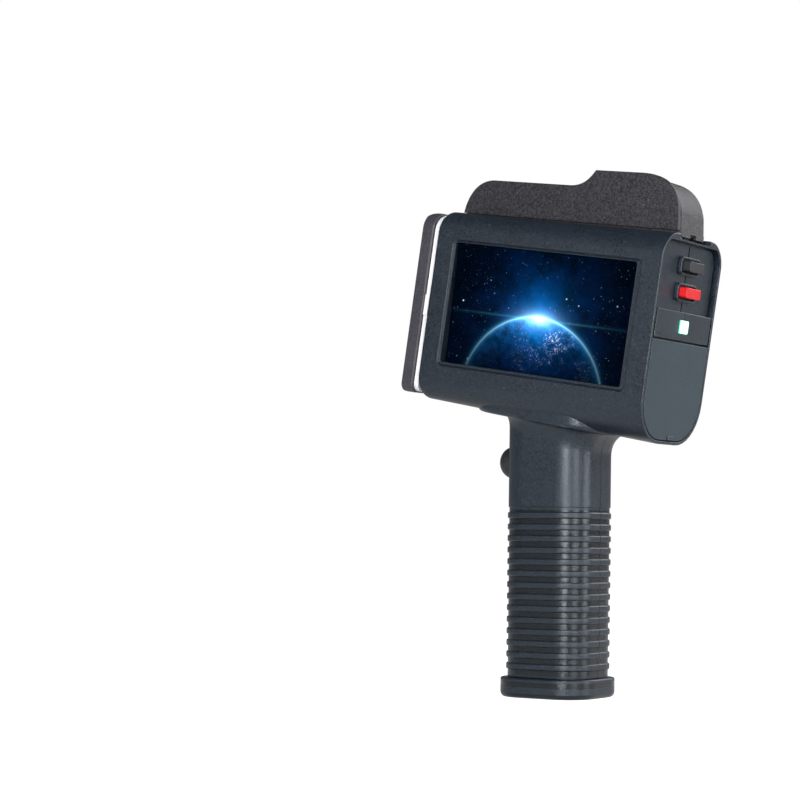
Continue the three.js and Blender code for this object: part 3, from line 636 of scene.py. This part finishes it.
def head_section(x, inset=0.0, drop=0.0):
    """The head's outline at x; drop brings its top and foot in towards the middle."""
    share = (x - FRONT) / (REAR - FRONT)
    bottom = between(share, FRONT_END.bottom, REAR_END.bottom)
    lower = between(share, FRONT_END.lower, REAR_END.lower)
    upper = between(share, FRONT_END.upper, REAR_END.upper)
    return rounded(-HALF, HALF, bottom + drop, top_at(x) - drop, lower, upper)(inset)


def end_section(inset=0.0):
    return head_section(REAR, inset)


def nose_drop(x):
    """How far the rounded nose has come in at x."""
    reach = SHELL.nose - (x - FRONT)
    return SHELL.nose - sqrt(SHELL.nose ** 2 - reach ** 2) if reach > 0 else 0.0


def head_block():
    """The outside of the head as one solid."""
    rings = []
    for x, inset in rounded_end(FRONT, SHELL.edge, 1):
        rings.append([(x, y, z) for y, z in head_section(x, inset, nose_drop(x))])
    for _, cosine in quarter(8)[1:]:
        x = FRONT + SHELL.edge + (SHELL.nose - SHELL.edge) * (1 - cosine)
        rings.append([(x, y, z) for y, z in head_section(x, 0, nose_drop(x))])
    for x, inset in rounded_end(REAR, REAR_END.edge, -1):
        rings.append([(x, y, z) for y, z in head_section(x, inset)])
    return skin(rings)


def head_cavity():
    ends = (FRONT + SHELL.front_wall, SHELL.floor - 2)
    return skin([[(x, y, z) for y, z in head_section(x, SHELL.wall)] for x in ends])


def leaning(outline, levels):
    """A solid through level sections. A level is (height, outward offset, share of the tilt, shift)."""
    tilt = HEAD.col[0].z / HEAD.col[0].x
    rings = []
    for height, offset, lean, shift in levels:
        rings.append([(x + shift, y, height + lean * (x + shift) * tilt) for x, y in outline(-offset)])
    return skin(rings)


def rib_levels():
    """The ribs from the lowest up, each with rounded edges and a flat-bottomed groove under it."""
    levels = []
    for i in reversed(range(RIBS.count)):
        top = RIBS.top - i * RIBS.pitch
        bottom = top - RIBS.height
        levels.append((bottom - RIBS.blend, RIBS.groove, 0, 0))
        for height, inset in rounded_ends(bottom, top, RIBS.edge):
            levels.append((height, RIBS.rise - inset, 0, 0))
        levels.append((top + RIBS.blend, RIBS.groove, 0, 0))
    return levels


def grip_outline():
    return centred(0, GRIP.half_x, GRIP.half_y, GRIP.radius)


def grip_outside():
    """The ribbed grip and the neck, which curves out into the flange."""
    start = BASE.top + GAP
    swell = 0.02
    levels = [(start, RIBS.groove - 0.1, 0, 0), (start + 0.7, RIBS.groove, 0, 0)]
    levels += rib_levels()
    neck = RIBS.top + RIBS.pitch - RIBS.height
    levels += [(neck - 0.3, RIBS.groove, 0, 0), (neck - 0.12, RIBS.groove + 0.2, 0, 0), (neck, 0, 0, 0)]
    levels.append((neck + 2, swell, 0, 0))
    for rise, cosine in quarter(FILLET.steps):
        spread = 1 - cosine
        levels.append((between(rise, FILLET.low, FILLET.high), swell + FILLET.reach * spread,
                       between(rise, FILLET.low_lean, FILLET.high_lean), FILLET.shift * spread))
    levels.append((FLANGE.top, FILLET.reach, FLANGE.lean, FILLET.shift))
    return leaning(grip_outline(), levels)


def grip_flange():
    """The flange under the head that the neck grows out of, with a soft lower edge."""
    outline = rounded(FLANGE.front, FLANGE.rear, -FLANGE.half, FLANGE.half, FLANGE.corner)
    levels = []
    for height, inset in rounded_end(FLANGE.bottom, FLANGE.edge, 1, 4):
        levels.append((height, -inset, FLANGE.lean, 0))
    levels.append((FLANGE.top, 0, FLANGE.lean, 0))
    return leaning(outline, levels)


def screw_towers():
    """Bosses inside the head and the grip, with the recesses and bores of the screws."""
    towers = []
    bosses = []
    tools = []
    seat = SHELL_SCREW.seat
    for x, z in SHELL_SCREWS:
        towers.append(rod("y", x, z, SHELL_SCREW.boss, 1 - HALF, seat))
        towers.append(rod("y", x, z, SHELL_SCREW.head_boss, seat - SHELL_SCREW.under, HALF - 0.6))
        tools.append(prism("y", circle(x, z, SCREW.head + GAP), flared(seat, HALF, 0.35)))
        tools.append(rod("y", x, z, SCREW.hole, SHELL_SCREW.end, seat + THROUGH))
    seat = GRIP_SCREW.seat
    for z in GRIP_SCREWS:
        boss = rod("y", 0, z, GRIP_SCREW.boss, 1 - GRIP.half_y, GRIP.half_y - 1)
        recess = rod("y", 0, z, SCREW.head + GAP, seat, GRIP.half_y + THROUGH)
        bore = rod("y", 0, z, SCREW.hole, GRIP_SCREW.end, seat + 0.4)
        bosses.append(moved(boss, INTO_HEAD))
        tools += [moved(recess, INTO_HEAD), moved(bore, INTO_HEAD)]
    return towers, bosses, tools


def window_cutters():
    """The bevelled opening in front of the display, and the pocket that the display sits in."""
    x0, x1 = GLASS[0].x - GAP, GLASS[1].x + GAP
    z0, z1 = GLASS[0].z - GAP, GLASS[1].z + GAP
    outer = rounded(x0 - WINDOW.left, x1 + WINDOW.right, z0 - WINDOW.bottom, z1 + WINDOW.top, WINDOW.corner)
    slope = [(-HALF + WINDOW.bevel, 0.9), (-HALF + 0.35, 0.1)]
    slope += [(-HALF + 0.12, -0.02), (-HALF, -0.22), (-HALF - THROUGH, -0.22)]
    opening = rounded(x0, x1, z0, z1, 1.2)
    return [prism("y", outer, slope), bar("y", opening, -HALF - THROUGH, WINDOW.back + 4)]


def display_frame():
    """The block behind the window that holds the display."""
    border = WINDOW.border
    return block(
        (GLASS[0].x - border - 1, GLASS[1].x + border), (1 - HALF, WINDOW.back),
        (GLASS[0].z - border - 1, GLASS[1].z + border + 1))


def recess_section(inset):
    """The inside of the rim; level at the top, where the lid's slot runs through the rim."""
    level = SLOT.recess_top + SHELL.rim - inset
    return [(y, min(z, level)) for y, z in end_section(inset)]


def floor_ring(inset, low, high):
    """A slab along the end face's floor that stays inset from its rim."""
    return bar("x", lambda further: recess_section(SHELL.rim + inset + further), low, high)


def end_face_recess():
    levels = [(x, SHELL.rim + inset) for x, inset in flared(SHELL.floor, REAR, SHELL.rim_edge)]
    return prism("x", recess_section, levels)


def battery_opening():
    """The way in to the battery, behind the door."""
    section = bar("x", lambda inset: end_section(inset + SHELL.rim + 2.7), SHELL.floor - 2.1, REAR + THROUGH)
    return common(section, block((50, 70), (-30, 30), (-60, DOOR_HINGE.z - 1.9)))


def end_floor_cutters():
    """What opens in the floor of the end face."""
    floor = SHELL.floor
    above = floor + THROUGH
    latch_half = LATCH.half + 1
    latch = block((floor - 3, above), (-latch_half, latch_half), (LATCH.low - 0.6, LATCH.high + 3.2))
    seam = block((floor - 0.9, above), (-0.45, 0.45), (LED.pad_top, SLOT.recess_top))
    panel = moved(floor_ring(MOAT.width, floor - 2, above), Matrix.Translation((0, MOAT.shift, 0)))
    moat = cut(floor_ring(0, floor - MOAT.depth, floor + 0.5), panel)
    half_bed = HALF - SHELL.rim
    bed = block((floor - DOOR.bed_depth, REAR), (-half_bed, half_bed),
                (DOOR_HINGE.z - 2.4, DOOR_HINGE.z + 1.9))
    lamp_outline = rounded(-LED.half, LED.half, LED.bottom, LED.top, 0.5)
    lamp = prism("x", lamp_outline, flared(floor - 3, REAR - 0.1, 0.2))
    holes = []
    for name in ("select_button", "power_button"):
        outline = centred(node_middle(name).z, BUTTON.half_y + GAP, BUTTON.half_z + GAP, 1.5)
        holes.append(bar("x", outline, floor - 3, REAR))
    return [battery_opening(), latch, seam, moat, bed, lamp, *holes]


def lamp_pad():
    outline = rounded(-LED.pad_half, LED.pad_half, LED.pad_bottom, LED.pad_top, 0.5)
    return prism("x", outline, rounded_ends(SHELL.floor - 1, REAR - 0.1, 0, 0.35))


def lid_slot(shell):
    """Lets the rear of the lid into the head's top and adds the lug for its hinge pin."""
    reach = LID_BOX[1].y + GAP
    x, z = LID_HINGE.x, LID_HINGE.z
    pad = block((SLOT.front, SHELL.floor - 1), (-reach - 1, reach + 1), (SLOT.pad_bottom, SLOT.floor + 1))
    lip = 0.3
    levels = flared(SLOT.floor, REAR_END.top + 0.05, lip) + [(z + HINGE.swing, -lip)]
    slot = prism("z", rounded(SLOT.front, REAR + 5, -reach, reach, 0.4), levels)
    trough = hinge_rod(LID_HINGE, HINGE.swing, reach)
    post = block((x - HINGE.lug_radius, x - GAP), (-HINGE.lug, HINGE.lug), (SLOT.pad_bottom + 1, z))
    knuckle = hinge_rod(LID_HINGE, HINGE.lug_radius, HINGE.lug, 0.2)
    return join(cut(join(shell, pad), slot, trough), knuckle, post)


def plate_screw_spots():
    middles = [node_middle(f"plate_screw_{i}") for i in range(1, 5)]
    return [(middle.y, middle.z) for middle in middles]


def front_wall_cutters():
    """The openings for the nozzle and the encoder's lead, and the bores of the plate's screws."""
    nozzle = node_box("nozzle_plate")
    encoder = node_box("encoder_board")
    wall = (FRONT - THROUGH, FRONT + 4)
    margin = 4
    tools = [
        block(wall, (-12, 12), (nozzle[0].z - margin, nozzle[1].z + margin)),
        block(wall, (16, 23), (encoder[0].z + margin, encoder[1].z - margin)),
    ]
    bores = [rod("x", y, z, SCREW.hole, FRONT - THROUGH, FRONT + 2.8) for y, z in plate_screw_spots()]
    return tools, bores


def whole_housing():
    """Both halves of the housing in one piece, in the head's frame."""
    grip = moved(join(grip_outside(), grip_flange()), INTO_HEAD)
    hollow_levels = [(BASE.top - 2, -GRIP.wall, 0, 0), (FLANGE.top, -GRIP.wall, 0, 0)]
    hollow = moved(leaning(grip_outline(), hollow_levels), INTO_HEAD)
    shell = cut(join(head_block(), grip), head_cavity(), hollow)
    towers, bosses, screw_tools = screw_towers()
    within = common(join(display_frame(), *towers), head_block())
    shell = lid_slot(join(shell, within, *bosses))
    shell = cut(join(cut(shell, end_face_recess()), lamp_pad()), *end_floor_cutters())
    bay = block((BAY.front, BAY.rear), (-BAY.half, BAY.half), (BAY.floor, BAY.top))
    openings, plate_bores = front_wall_cutters()
    trigger_bore = rod("x", 0, node_middle("trigger_button", UPRIGHT).z, TRIGGER.bore, -30, -12)
    pin_end = node_box("door_hinge_pin")[1].y + GAP
    tools = [
        bay, *openings, moved(trigger_bore, INTO_HEAD),
        hinge_rod(LID_HINGE, HINGE.pin, HINGE.lug + THROUGH), hinge_rod(DOOR_HINGE, DOOR.bore, pin_end),
        *plate_bores,
    ]
    return cut(shell, *window_cutters(), *tools, *screw_tools)


def add_housing(finish):
    whole = whole_housing()
    other = add_object("solid", whole.data.copy())
    left = common(whole, block((-FAR, FAR), (-FAR, -GAP / 2), (-FAR, FAR)))
    right = common(other, block((-FAR, FAR), (GAP / 2, FAR), (-FAR, FAR)))
    piece("housing_left", left, finish, replaces=["left_housing"])
    piece("housing_right", right, finish, replaces=["right_housing"])


def add_base_cap(finish):
    """The cap under the grip: a flange with rounded edges, a parting slit and a spigot inside the grip."""
    low, high = node_box("base_cap", UPRIGHT)
    half_x, half_y = high.x, high.y
    outline = centred(0, half_x, half_y, BASE.radius)
    flange = prism("z", outline, rounded_ends(low.z, BASE.top, BASE.edge, BASE.top_edge, 4))
    spigot_inset = GRIP.wall + GAP
    pocket_inset = GRIP.wall + 2.3
    spigot = prism("z", grip_outline(), [(BASE.top - 1, spigot_inset), (high.z, spigot_inset)])
    pocket = prism("z", grip_outline(), [(low.z + BASE.floor, pocket_inset), (high.z + 1, pocket_inset)])
    slit = block((-half_x - 0.6, 0.6 - half_x), (-5.2, -4.8), (3, 8.4))
    feet = [rod("z", x, y, BASE.foot, low.z - THROUGH, low.z + 0.4) for x in (-13, 13) for y in (-11, 11)]
    cap = cut(join(flange, spigot), pocket, slit, *feet)
    piece("grip_base_cap", cap, finish, replaces=["base_cap"], place=UPRIGHT)


# ---------------- print face
def plate_outline(low, high):
    return rounded(low.y, high.y, low.z, high.z, PLATE.lower, PLATE.upper)


def side_blocks(x, near, far, z, edge=0.0):
    """The same block on both sides, between two distances from the middle."""
    return [block(x, sorted((side * near, side * far)), z, edge) for side in (-1, 1)]


def roller_pocket(name, x):
    low, high = node_box(name)
    return block(x, (low.y - 0.5, high.y + 0.5), (low.z - 0.6, high.z + 0.6), 0.3)


def add_guide_plate(finish):
    low, high = node_box("front_guide_plate")
    through = (low.x - THROUGH, high.x + THROUGH)
    plate = prism("x", plate_outline(low, high), rounded_ends(low.x, high.x, 0.9, 0.8))
    side = rounded(low.x, low.x + PLATE.edge_depth, low.z, high.z, PLATE.edge_bottom, PLATE.edge_top, steps=8)
    plate = common(plate, bar("y", side, low.y - 1, high.y + 1))
    tools = [prism("x", centred(node_middle("nozzle_plate").z, 9, 15.7, 2), flared(high.x + 1, low.x, 0.6))]
    for name in ROLLERS:
        tools.append(roller_pocket(name, through))
        roller_low, roller_high = node_box(name)
        middle = node_middle(name)
        tools.append(rod("z", middle.x, middle.y, ROLLER.bore,
                         roller_low.z - ROLLER.axle_reach, roller_high.z + ROLLER.axle_reach))
    for y, z in plate_screw_spots():
        tools.append(rod("x", y, z, SCREW.hole, *through))
        tools.append(prism("x", circle(y, z, SCREW.head + GAP), flared(low.x + PLATE.seat, low.x, 0.3)))
    for z in HAIRLINE.heights:
        height = (z - HAIRLINE.half, z + HAIRLINE.half)
        tools += side_blocks(through, high.y - HAIRLINE.depth, high.y + 1, height)
    piece("guide_plate", cut(plate, *tools), finish, replaces=["front_guide_plate"])


def add_spacer(finish):
    """The white seal between the plate and the housing, with a wider tab on each side."""
    low, high = node_box("front_spacer")
    through = (low.x - THROUGH, high.x + THROUGH)
    outline = plate_outline(low, high)
    width = 9.7
    ring = prism("x", outline, rounded_ends(low.x, high.x, 0.25))
    tools = [prism("x", outline, [(x, width) for x in through])]
    tools += [roller_pocket(name, through) for name in ROLLERS]
    tools += [rod("x", y, z, SCREW.hole, *through) for y, z in plate_screw_spots()]
    tabs = side_blocks((low.x, high.x), high.y - 2, high.y + 0.6, (-2.4, 7.3), 0.25)
    seal = cut(join(ring, *tabs), *tools)
    piece("front_seal", seal, finish, replaces=["front_spacer"])


def add_roller(name, rubber, steel):
    """A wheel with a grooved rubber tyre, on a steel axle."""
    low, high = node_box(name)
    middle = node_middle(name)
    edge = 0.5
    levels = rounded_end(low.z, edge, 1)
    count = int((high.z - low.z) / 2)
    for i in range(1, count):
        z = low.z + (high.z - low.z) * i / count
        levels += [(z - ROLLER.groove, 0), (z - ROLLER.groove_floor, ROLLER.groove_depth),
                   (z + ROLLER.groove_floor, ROLLER.groove_depth), (z + ROLLER.groove, 0)]
    levels += rounded_end(high.z, edge, -1)
    tyre = prism("z", circle(middle.x, middle.y, (high.y - low.y) / 2), levels)
    bore = rod("z", middle.x, middle.y, ROLLER.bore, low.z - THROUGH, high.z + THROUGH)
    piece(name + "_tyre", cut(tyre, bore), rubber, body=name, replaces=[name])
    axle = name.replace("roller", "axle")
    low, high = node_box(axle)
    pin = rod("z", middle.x, middle.y, ROLLER.axle, low.z, high.z, 0.25)
    piece(axle + "_pin", pin, steel, replaces=[axle])


def add_screw(name, axis, sign, steel, place=HEAD):
    """A pan-head screw with a cross recess, its head at the end of the axis that sign says."""
    low, high = node_box(name, place)
    span = {"x": 0, "y": 1}[axis]
    u, v = (node_middle(name, place)[i] for i in range(3) if i != span)
    top, end = (high[span], low[span]) if sign > 0 else (low[span], high[span])
    seat = top - sign * SCREW.head_height
    edges = (0.15, 0.8)
    head = prism(axis, circle(u, v, SCREW.head), rounded_ends(*sorted((seat, top)), *edges[::sign]))
    shank = rod(axis, u, v, SCREW.shank, *sorted((end, seat + sign * 0.5)), 0.3)
    drive = sorted((top - sign * SCREW.drive_depth, top + sign))
    slots = [bar(axis, rounded(u - a, u + a, v - b, v + b, 0.15, steps=2), *drive)
             for a, b in ((1.5, 0.32), (0.32, 1.5))]
    piece(name + "_body", cut(join(head, shank), *slots), steel, replaces=[name], place=place)


# ---------------- cartridge lid
def lid_outline(step):
    """The lid from the side: a low front, a step up and a tall back that lies inwards by step."""
    points = [(LID.rear, LID.heel), (60.2, 57.6)]
    points += bezier(
        points[-1], (58.8 - step, 69 - step), (51.5 - step, 74 - step), (38.8, 73.7 - step), 16)
    points += [(14.6, 73.1 - step)]
    points += bezier(points[-1], (11.6, 68.4), (8.6, 65.8), (2.8, 65.3), 8)
    points += [(-39.5, 64.4)]
    points += bezier(points[-1], (-47.5, 63.9), (-52.9, 58), (LID.front, top_at(LID.front) + GAP), 16)
    shape = polygon(points)

    def outline(inset=0.0):
        """The open foot stays at its own height."""
        corners = shape(inset)
        corners[0] = (corners[0][0], points[0][1])
        corners[-1] = (corners[-1][0], points[-1][1])
        return corners
    return outline


def below_foot(lift_front, lift_rear, rear, low, high):
    """A cutter for what lies below the lid's foot, from its front to rear."""
    front, bottom = LID.front - 2, LID.heel - 9
    line = polygon([
        (front, bottom), (rear, bottom),
        (rear, top_at(LID.rear) + lift_rear), (front, top_at(LID.front) + lift_front)])
    return bar("y", line, low, high)


def add_lid(finish):
    """A deep hollow cover, hinged behind the cartridge; the cheek beside the display stands proud of it."""
    half = LID_BOX[1].y
    near, far = -half + LID.wall, half - LID.wall
    hump = lid_outline(LID.step)
    cheek = prism("y", lid_outline(0), rounded_ends(-half, near, 0.45, 0.2))
    cheek = cut(cheek, below_foot(GAP + 0.5, LID.lift, LID.rear + 1, -half - 1, near + 0.1))
    neck = bar("y", lambda inset: hump(0.9), near - 0.5, near + 1.5)
    cover = prism("y", hump, rounded_ends(near + 0.6, half, 0.8, LID.bulge, 9))
    deep = LID.wall + LID.bulge / 2
    hollow = prism("y", hump, [(near, LID.wall), (half - LID.bulge, LID.wall), (far - GAP, deep)])
    below = below_foot(GAP, GAP, LID.rear - LID.wall, -half - 1, half + 1)
    lid = cut(join(neck, cheek, cover), hollow, below)
    x, z = LID_HINGE.x, LID_HINGE.z
    inner = HINGE.knuckle + 0.1
    barrels = [rod("y", x, z, HINGE.barrel, *ends, 0.2)
               for ends in ((-HINGE.reach, -inner), (inner, HINGE.reach))]
    lid = join(lid, *barrels)
    room = HINGE.lug_radius + GAP
    front, bottom = x - 3, LID.heel - THROUGH
    pocket = block((front, x + room), (-HINGE.knuckle, HINGE.knuckle), (bottom, z + room))
    notch = block((front, LID.rear + THROUGH), (-HINGE.knuckle, HINGE.knuckle), (bottom, z))
    bore = hinge_rod(LID_HINGE, HINGE.pin, node_box("lid_hinge_pin")[1].y + GAP)
    piece("lid_cover", cut(lid, pocket, notch, bore), finish,
          body="cartridge_lid", replaces=["cartridge_lid"])


# ---------------- end face
def add_button(name, finish, shell):
    """A push button with crisp edges, inside a raised collar that leaves a dark gap around it."""
    low, high = node_box(name)
    middle = node_middle(name).z
    steps = 5
    cap = prism("x", centred(middle, BUTTON.half_y, BUTTON.half_z, BUTTON.radius, steps),
                rounded_ends(SHELL.floor - 3.5, high.x, 0, 0.3, 4))
    foot = bar("x", centred(middle, BUTTON.half_y + 1.1, BUTTON.half_z + 0.9, 1.3, steps), low.x, low.x + 1.9)
    piece(name + "_cap", join(cap, foot), finish, body=name, replaces=[name])
    low, high = node_box(name + "_collar")
    half_y, half_z = high.y, (high.z - low.z) / 2
    ring = prism("x", centred(middle, half_y, half_z, 1.8, steps), rounded_ends(low.x, high.x, 0, 0.35))
    wall = BUTTON.collar_wall
    hole = prism("x", centred(middle, half_y - wall, half_z - wall, 1.1, steps),
                 flared(low.x - THROUGH, high.x, 0.15))
    piece(name + "_bezel", cut(ring, hole), shell, replaces=[name + "_collar"])


def add_lamp(finish):
    low, high = node_box("led_light_pipe")
    outline = rounded(low.y, high.y, low.z, high.z, 0.6, steps=4)
    pipe = prism("x", outline, rounded_ends(low.x, high.x, 0.2, 0.5))
    piece("light_pipe", pipe, finish, replaces=["led_light_pipe"])


def add_door(finish):
    """The battery door: a flat panel with a barrel along its head and a pull tab at its foot."""
    low, high = node_box("battery_door")
    half = high.y
    back = REAR - DOOR.thick
    rim_gap = SHELL.rim + GAP + 0.15
    sheet = prism("x", lambda inset: end_section(inset + rim_gap), rounded_ends(back, REAR, 0, 0.35))
    keep = prism("x", rounded(-half - 1, half + 1, low.z - 1, DOOR.top, 0.4),
                 rounded_ends(back - 1, REAR, 0, 0.35))
    barrel = hinge_rod(DOOR_HINGE, DOOR.barrel, DOOR.barrel_half, 0.2)
    tab = block((SHELL.floor - 1.5, back + 0.5), (-LATCH.half, LATCH.half), (LATCH.low, LATCH.high))
    pull = block((REAR - 0.6, REAR + 0.45), (-0.2, 5.0), (low.z + 0.35, low.z + 2.3), 0.3)
    notch = block((REAR - 0.8, REAR + THROUGH), (-1.0, -0.2), (low.z - 1, low.z + 2.3))
    bore = hinge_rod(DOOR_HINGE, DOOR.bore, HALF)
    door = cut(join(common(sheet, keep), barrel, tab, pull), notch, bore)
    piece("door_panel", door, finish, body="battery_door", replaces=["battery_door"])


def add_pin(name, centre, radius, steel):
    low, high = node_box(name)
    pin = rod("y", centre.x, centre.z, radius, low.y, high.y, 0.2)
    piece(name + "_rod", pin, steel, replaces=[name])


# ---------------- display
def display_place():
    """The display's own frame inside the head: it leans back by the turn of its flat front face."""
    mesh = frame["nodes"]["display_glass"].data
    face = max(mesh.polygons, key=lambda polygon: polygon.area)
    normal = HEAD.to_3x3().inverted() @ face.normal
    way = copysign(1, normal.y)
    lean = atan2(way * normal.z, way * normal.y)
    return Matrix.Translation(node_middle("display_glass")) @ Matrix.Rotation(lean, 4, "X")


def add_display(picture, glass):
    """Cover glass with ground edges over the lit panel in its frame."""
    place = HEAD @ display_place()
    for node, name, finish, edge in (
            ("display_glass", "cover_glass", glass, 0.15), ("lcd_module", "lit_panel", picture, 0.05)):
        low, high = node_box(node, place)
        outline = rounded(low.x, high.x, low.z, high.z, 1.6, steps=4)
        pane = prism("y", outline, rounded_ends(low.y, high.y, edge))
        piece(name, pane, finish, replaces=[node], place=place)


# ---------------- trigger
def add_trigger(finish):
    """A domed push button with a skirt that stops behind the grip's wall."""
    low, high = node_box("trigger_button", UPRIGHT)
    centre = Vector((0, 0, (low.z + high.z) / 2))
    tip = low.x
    skirt = high.z - centre.z
    profile = [(0, tip)]
    for sine, cosine in quarter(11)[1:]:
        profile.append((TRIGGER.radius * sine, tip + TRIGGER.dome * (1 - cosine)))
    profile += [(TRIGGER.radius, high.x - TRIGGER.skirt), (skirt, high.x - TRIGGER.skirt)]
    profile += [(skirt, high.x), (0, high.x)]
    dome = spun(profile, centre)
    piece("trigger_dome", dome, finish, body="trigger",
          replaces=["trigger_button"], place=UPRIGHT)


# ---------------- inside
def add_battery(wrap, black):
    """A wrapped cell pack with a moulded end cap, which has a slot to pull it by."""
    low, high = node_box("battery_pack")
    joint = high.x - 3.2
    outline = rounded(low.y, high.y, low.z, high.z, 4)
    pack = prism("x", outline, rounded_ends(low.x, joint, 0.8, 0.2))
    piece("battery_wrap", pack, wrap, replaces=["battery_pack"])
    cap = prism("x", outline, rounded_ends(joint + 0.1, high.x, 0.1, 0.6))
    pull = bar("y", rounded(high.x - 0.6, high.x + 1.3, -30, -16, 0.5), -6, 6)
    piece("battery_end_cap", cut(cap, pull), black)


# ---------------- studio
def direction(azimuth, elevation):
    """The way to a place around the object. Azimuth is from +X towards +Y, in degrees."""
    turn, rise = radians(azimuth), radians(elevation)
    return Vector((cos(turn) * cos(rise), sin(turn) * cos(rise), sin(rise)))


def add_camera():
    """The view of the end face and the display, from slightly below the head."""
    roll = radians(CAMERA.roll)
    back = direction(CAMERA.azimuth, CAMERA.rise)
    level = direction(CAMERA.azimuth + 90, 0)
    steep = back.cross(level)
    right = level * cos(roll) + steep * sin(roll)
    upright = steep * cos(roll) - level * sin(roll)
    data = bpy.data.cameras.new("camera")
    data.lens = CAMERA.lens
    data.sensor_width = 36
    data.shift_x = CAMERA.shift_x
    data.shift_y = CAMERA.shift_y
    camera = add_object("camera", data)
    axes = Matrix((right, upright, back)).transposed().to_4x4()
    spot = (Vector(CAMERA.target) + back * CAMERA.distance) * MM
    camera.matrix_world = Matrix.Translation(spot) @ axes
    bpy.context.scene.camera = camera


def add_softbox(name, azimuth, elevation, distance, size, power):
    """A rectangular light aimed at the object."""
    aim = Vector((0, 0, 0.12))
    way = direction(azimuth, elevation)
    data = bpy.data.lights.new(name, "AREA")
    data.shape = "RECTANGLE"
    data.size, data.size_y = size
    data.energy = power
    light = add_object(name, data)
    light.location = aim + way * distance
    light.rotation_euler = way.to_track_quat("Z", "Y").to_euler()


def add_floor():
    """Pale paper that looks white to the camera and stays dim in reflections."""
    side = 6.0
    mesh = bpy.data.meshes.new("floor")
    corners = [(-side, -side, 0), (side, -side, 0), (side, side, 0), (-side, side, 0)]
    mesh.from_pydata(corners, [], [(0, 1, 2, 3)])
    shader = Shader("floor_paper")
    shader.set(Base_Color=(0.55, 0.55, 0.55, 1.0), Roughness=0.9)
    path = shader.node("LightPath").outputs
    seen = shader.math("MULTIPLY_ADD", path["Is Camera Ray"], 0.9, 0.06)
    mirrored = shader.times(path["Is Glossy Ray"], 0.22)
    shader.set(Emission_Color=(1, 1, 1, 1), Emission_Strength=shader.math("ADD", seen, mirrored))
    mesh.materials.append(shader.material)
    floor = add_object("floor", mesh)


def add_surround():
    """A world that is white to the camera, and otherwise dim, dimmer still towards its top."""
    world = bpy.data.worlds.new("studio")
    world.use_nodes = True
    bpy.context.scene.world = world
    sky = Nodes(world.node_tree)
    way = sky.node("TexCoord").outputs["Generated"]
    height = sky.node("SeparateXYZ", (way,)).outputs["Z"]
    dim = sky.spread(height, 0.0, 1.0, 0.24, 0.06)
    seen = sky.node("LightPath").outputs["Is Camera Ray"]
    background = world.node_tree.nodes["Background"]
    sky.feed(background.inputs["Color"], (1, 1, 1, 1))
    sky.feed(background.inputs["Strength"], sky.spread(seen, 0.0, 1.0, dim, 1.0))


def add_studio():
    """A pale floor, a white surround and five softboxes."""
    add_floor()
    add_surround()
    add_softbox("key", -75, 10, 1.6, (0.2, 1.5), 27)
    add_softbox("side", 15, 14, 1.6, (0.25, 1.4), 14)
    add_softbox("glint", -32, 12, 1.6, (0.2, 1.2), 12)
    add_softbox("sheen", -107, 8, 1.6, (0.25, 0.8), 1)
    add_softbox("back", 69, 30, 1.8, (1.2, 1.2), 15)
    bpy.context.scene.view_settings.view_transform = "Standard"


# ---------------- the printer
shell = ribbed_shell()
black = moulded("black_plastic", (0.018, 0.019, 0.022), grain=0.35, rough=0.42)
steel = metal("steel", (0.62, 0.63, 0.65), 0.3)
rubber = moulded("rubber", (0.02, 0.02, 0.022), grain=0.3, rough=0.75, edge=0.2)
board = board_finish("circuit_board", (0.01, 0.075, 0.03))

add_housing(shell)
add_base_cap(shell)
plate = moulded("plate_plastic", (0.045, 0.044, 0.056), grain=0.6, rough=0.36, edge=0.15)
add_guide_plate(plate)
white = moulded("white_plastic", (0.82, 0.82, 0.84), grain=0.5, rough=0.45, contrast=0.03, edge=0.0)
add_spacer(white)
for name in ROLLERS:
    add_roller(name, rubber, steel)
for i in range(1, 5):
    add_screw(f"plate_screw_{i}", "x", -1, steel)
    add_screw(f"shell_screw_{i}", "y", 1, steel)
for i in range(1, 3):
    add_screw(f"grip_screw_{i}", "y", 1, steel, UPRIGHT)
lid = moulded("lid_plastic", (0.0165, 0.016, 0.0215), grain=0.85, depth=0.2, rough=0.48, contrast=0.9,
              sparkle=1.0, edge=0.1)
add_lid(lid)
add_pin("lid_hinge_pin", LID_HINGE, 0.8, steel)
red = moulded("red_plastic", (0.62, 0.006, 0.012), grain=0.4, rough=0.38, contrast=0.1, edge=0.3)
add_button("select_button", black, shell)
add_button("power_button", red, shell)
add_lamp(lamp_finish("lamp_plastic", (0.6, 1.0, 0.86), (0.02, 0.6, 0.3), 0.8))
door = moulded("door_plastic", (0.017, 0.033, 0.045), grain=0.9, depth=0.03, rough=0.45)
add_door(door)
add_pin("door_hinge_pin", DOOR_HINGE, 0.7, steel)
glass = Shader("screen_glass")
glass.set(Base_Color=(1, 1, 1, 1), Transmission_Weight=1.0, IOR=1.04)
glass.set(Roughness=glass.spread(glass.noise(14, 3.0), 0.3, 0.8, 0.01, 0.05))
add_display(screen_picture(), glass)
add_trigger(black)
wrap = moulded("cell_wrap", (0.03, 0.09, 0.3), grain=2.5, depth=0.05, rough=0.28, contrast=0.08)
add_battery(wrap, black)

finishes = {
    "main_board": board, "interface_board": board, "contact_board": board, "encoder_board": board,
    "ink_cartridge": black, "cartridge_cradle": black, "trigger_switch": black, "trigger_lead": black,
    "select_switch": black, "power_switch": black,
    "nozzle_plate": metal("nozzle_metal", (0.75, 0.6, 0.3), 0.25),
}
for node, finish in finishes.items():
    frame["nodes"][node].data.materials.clear()
    frame["nodes"][node].data.materials.append(finish.material)

add_camera()
add_studio()
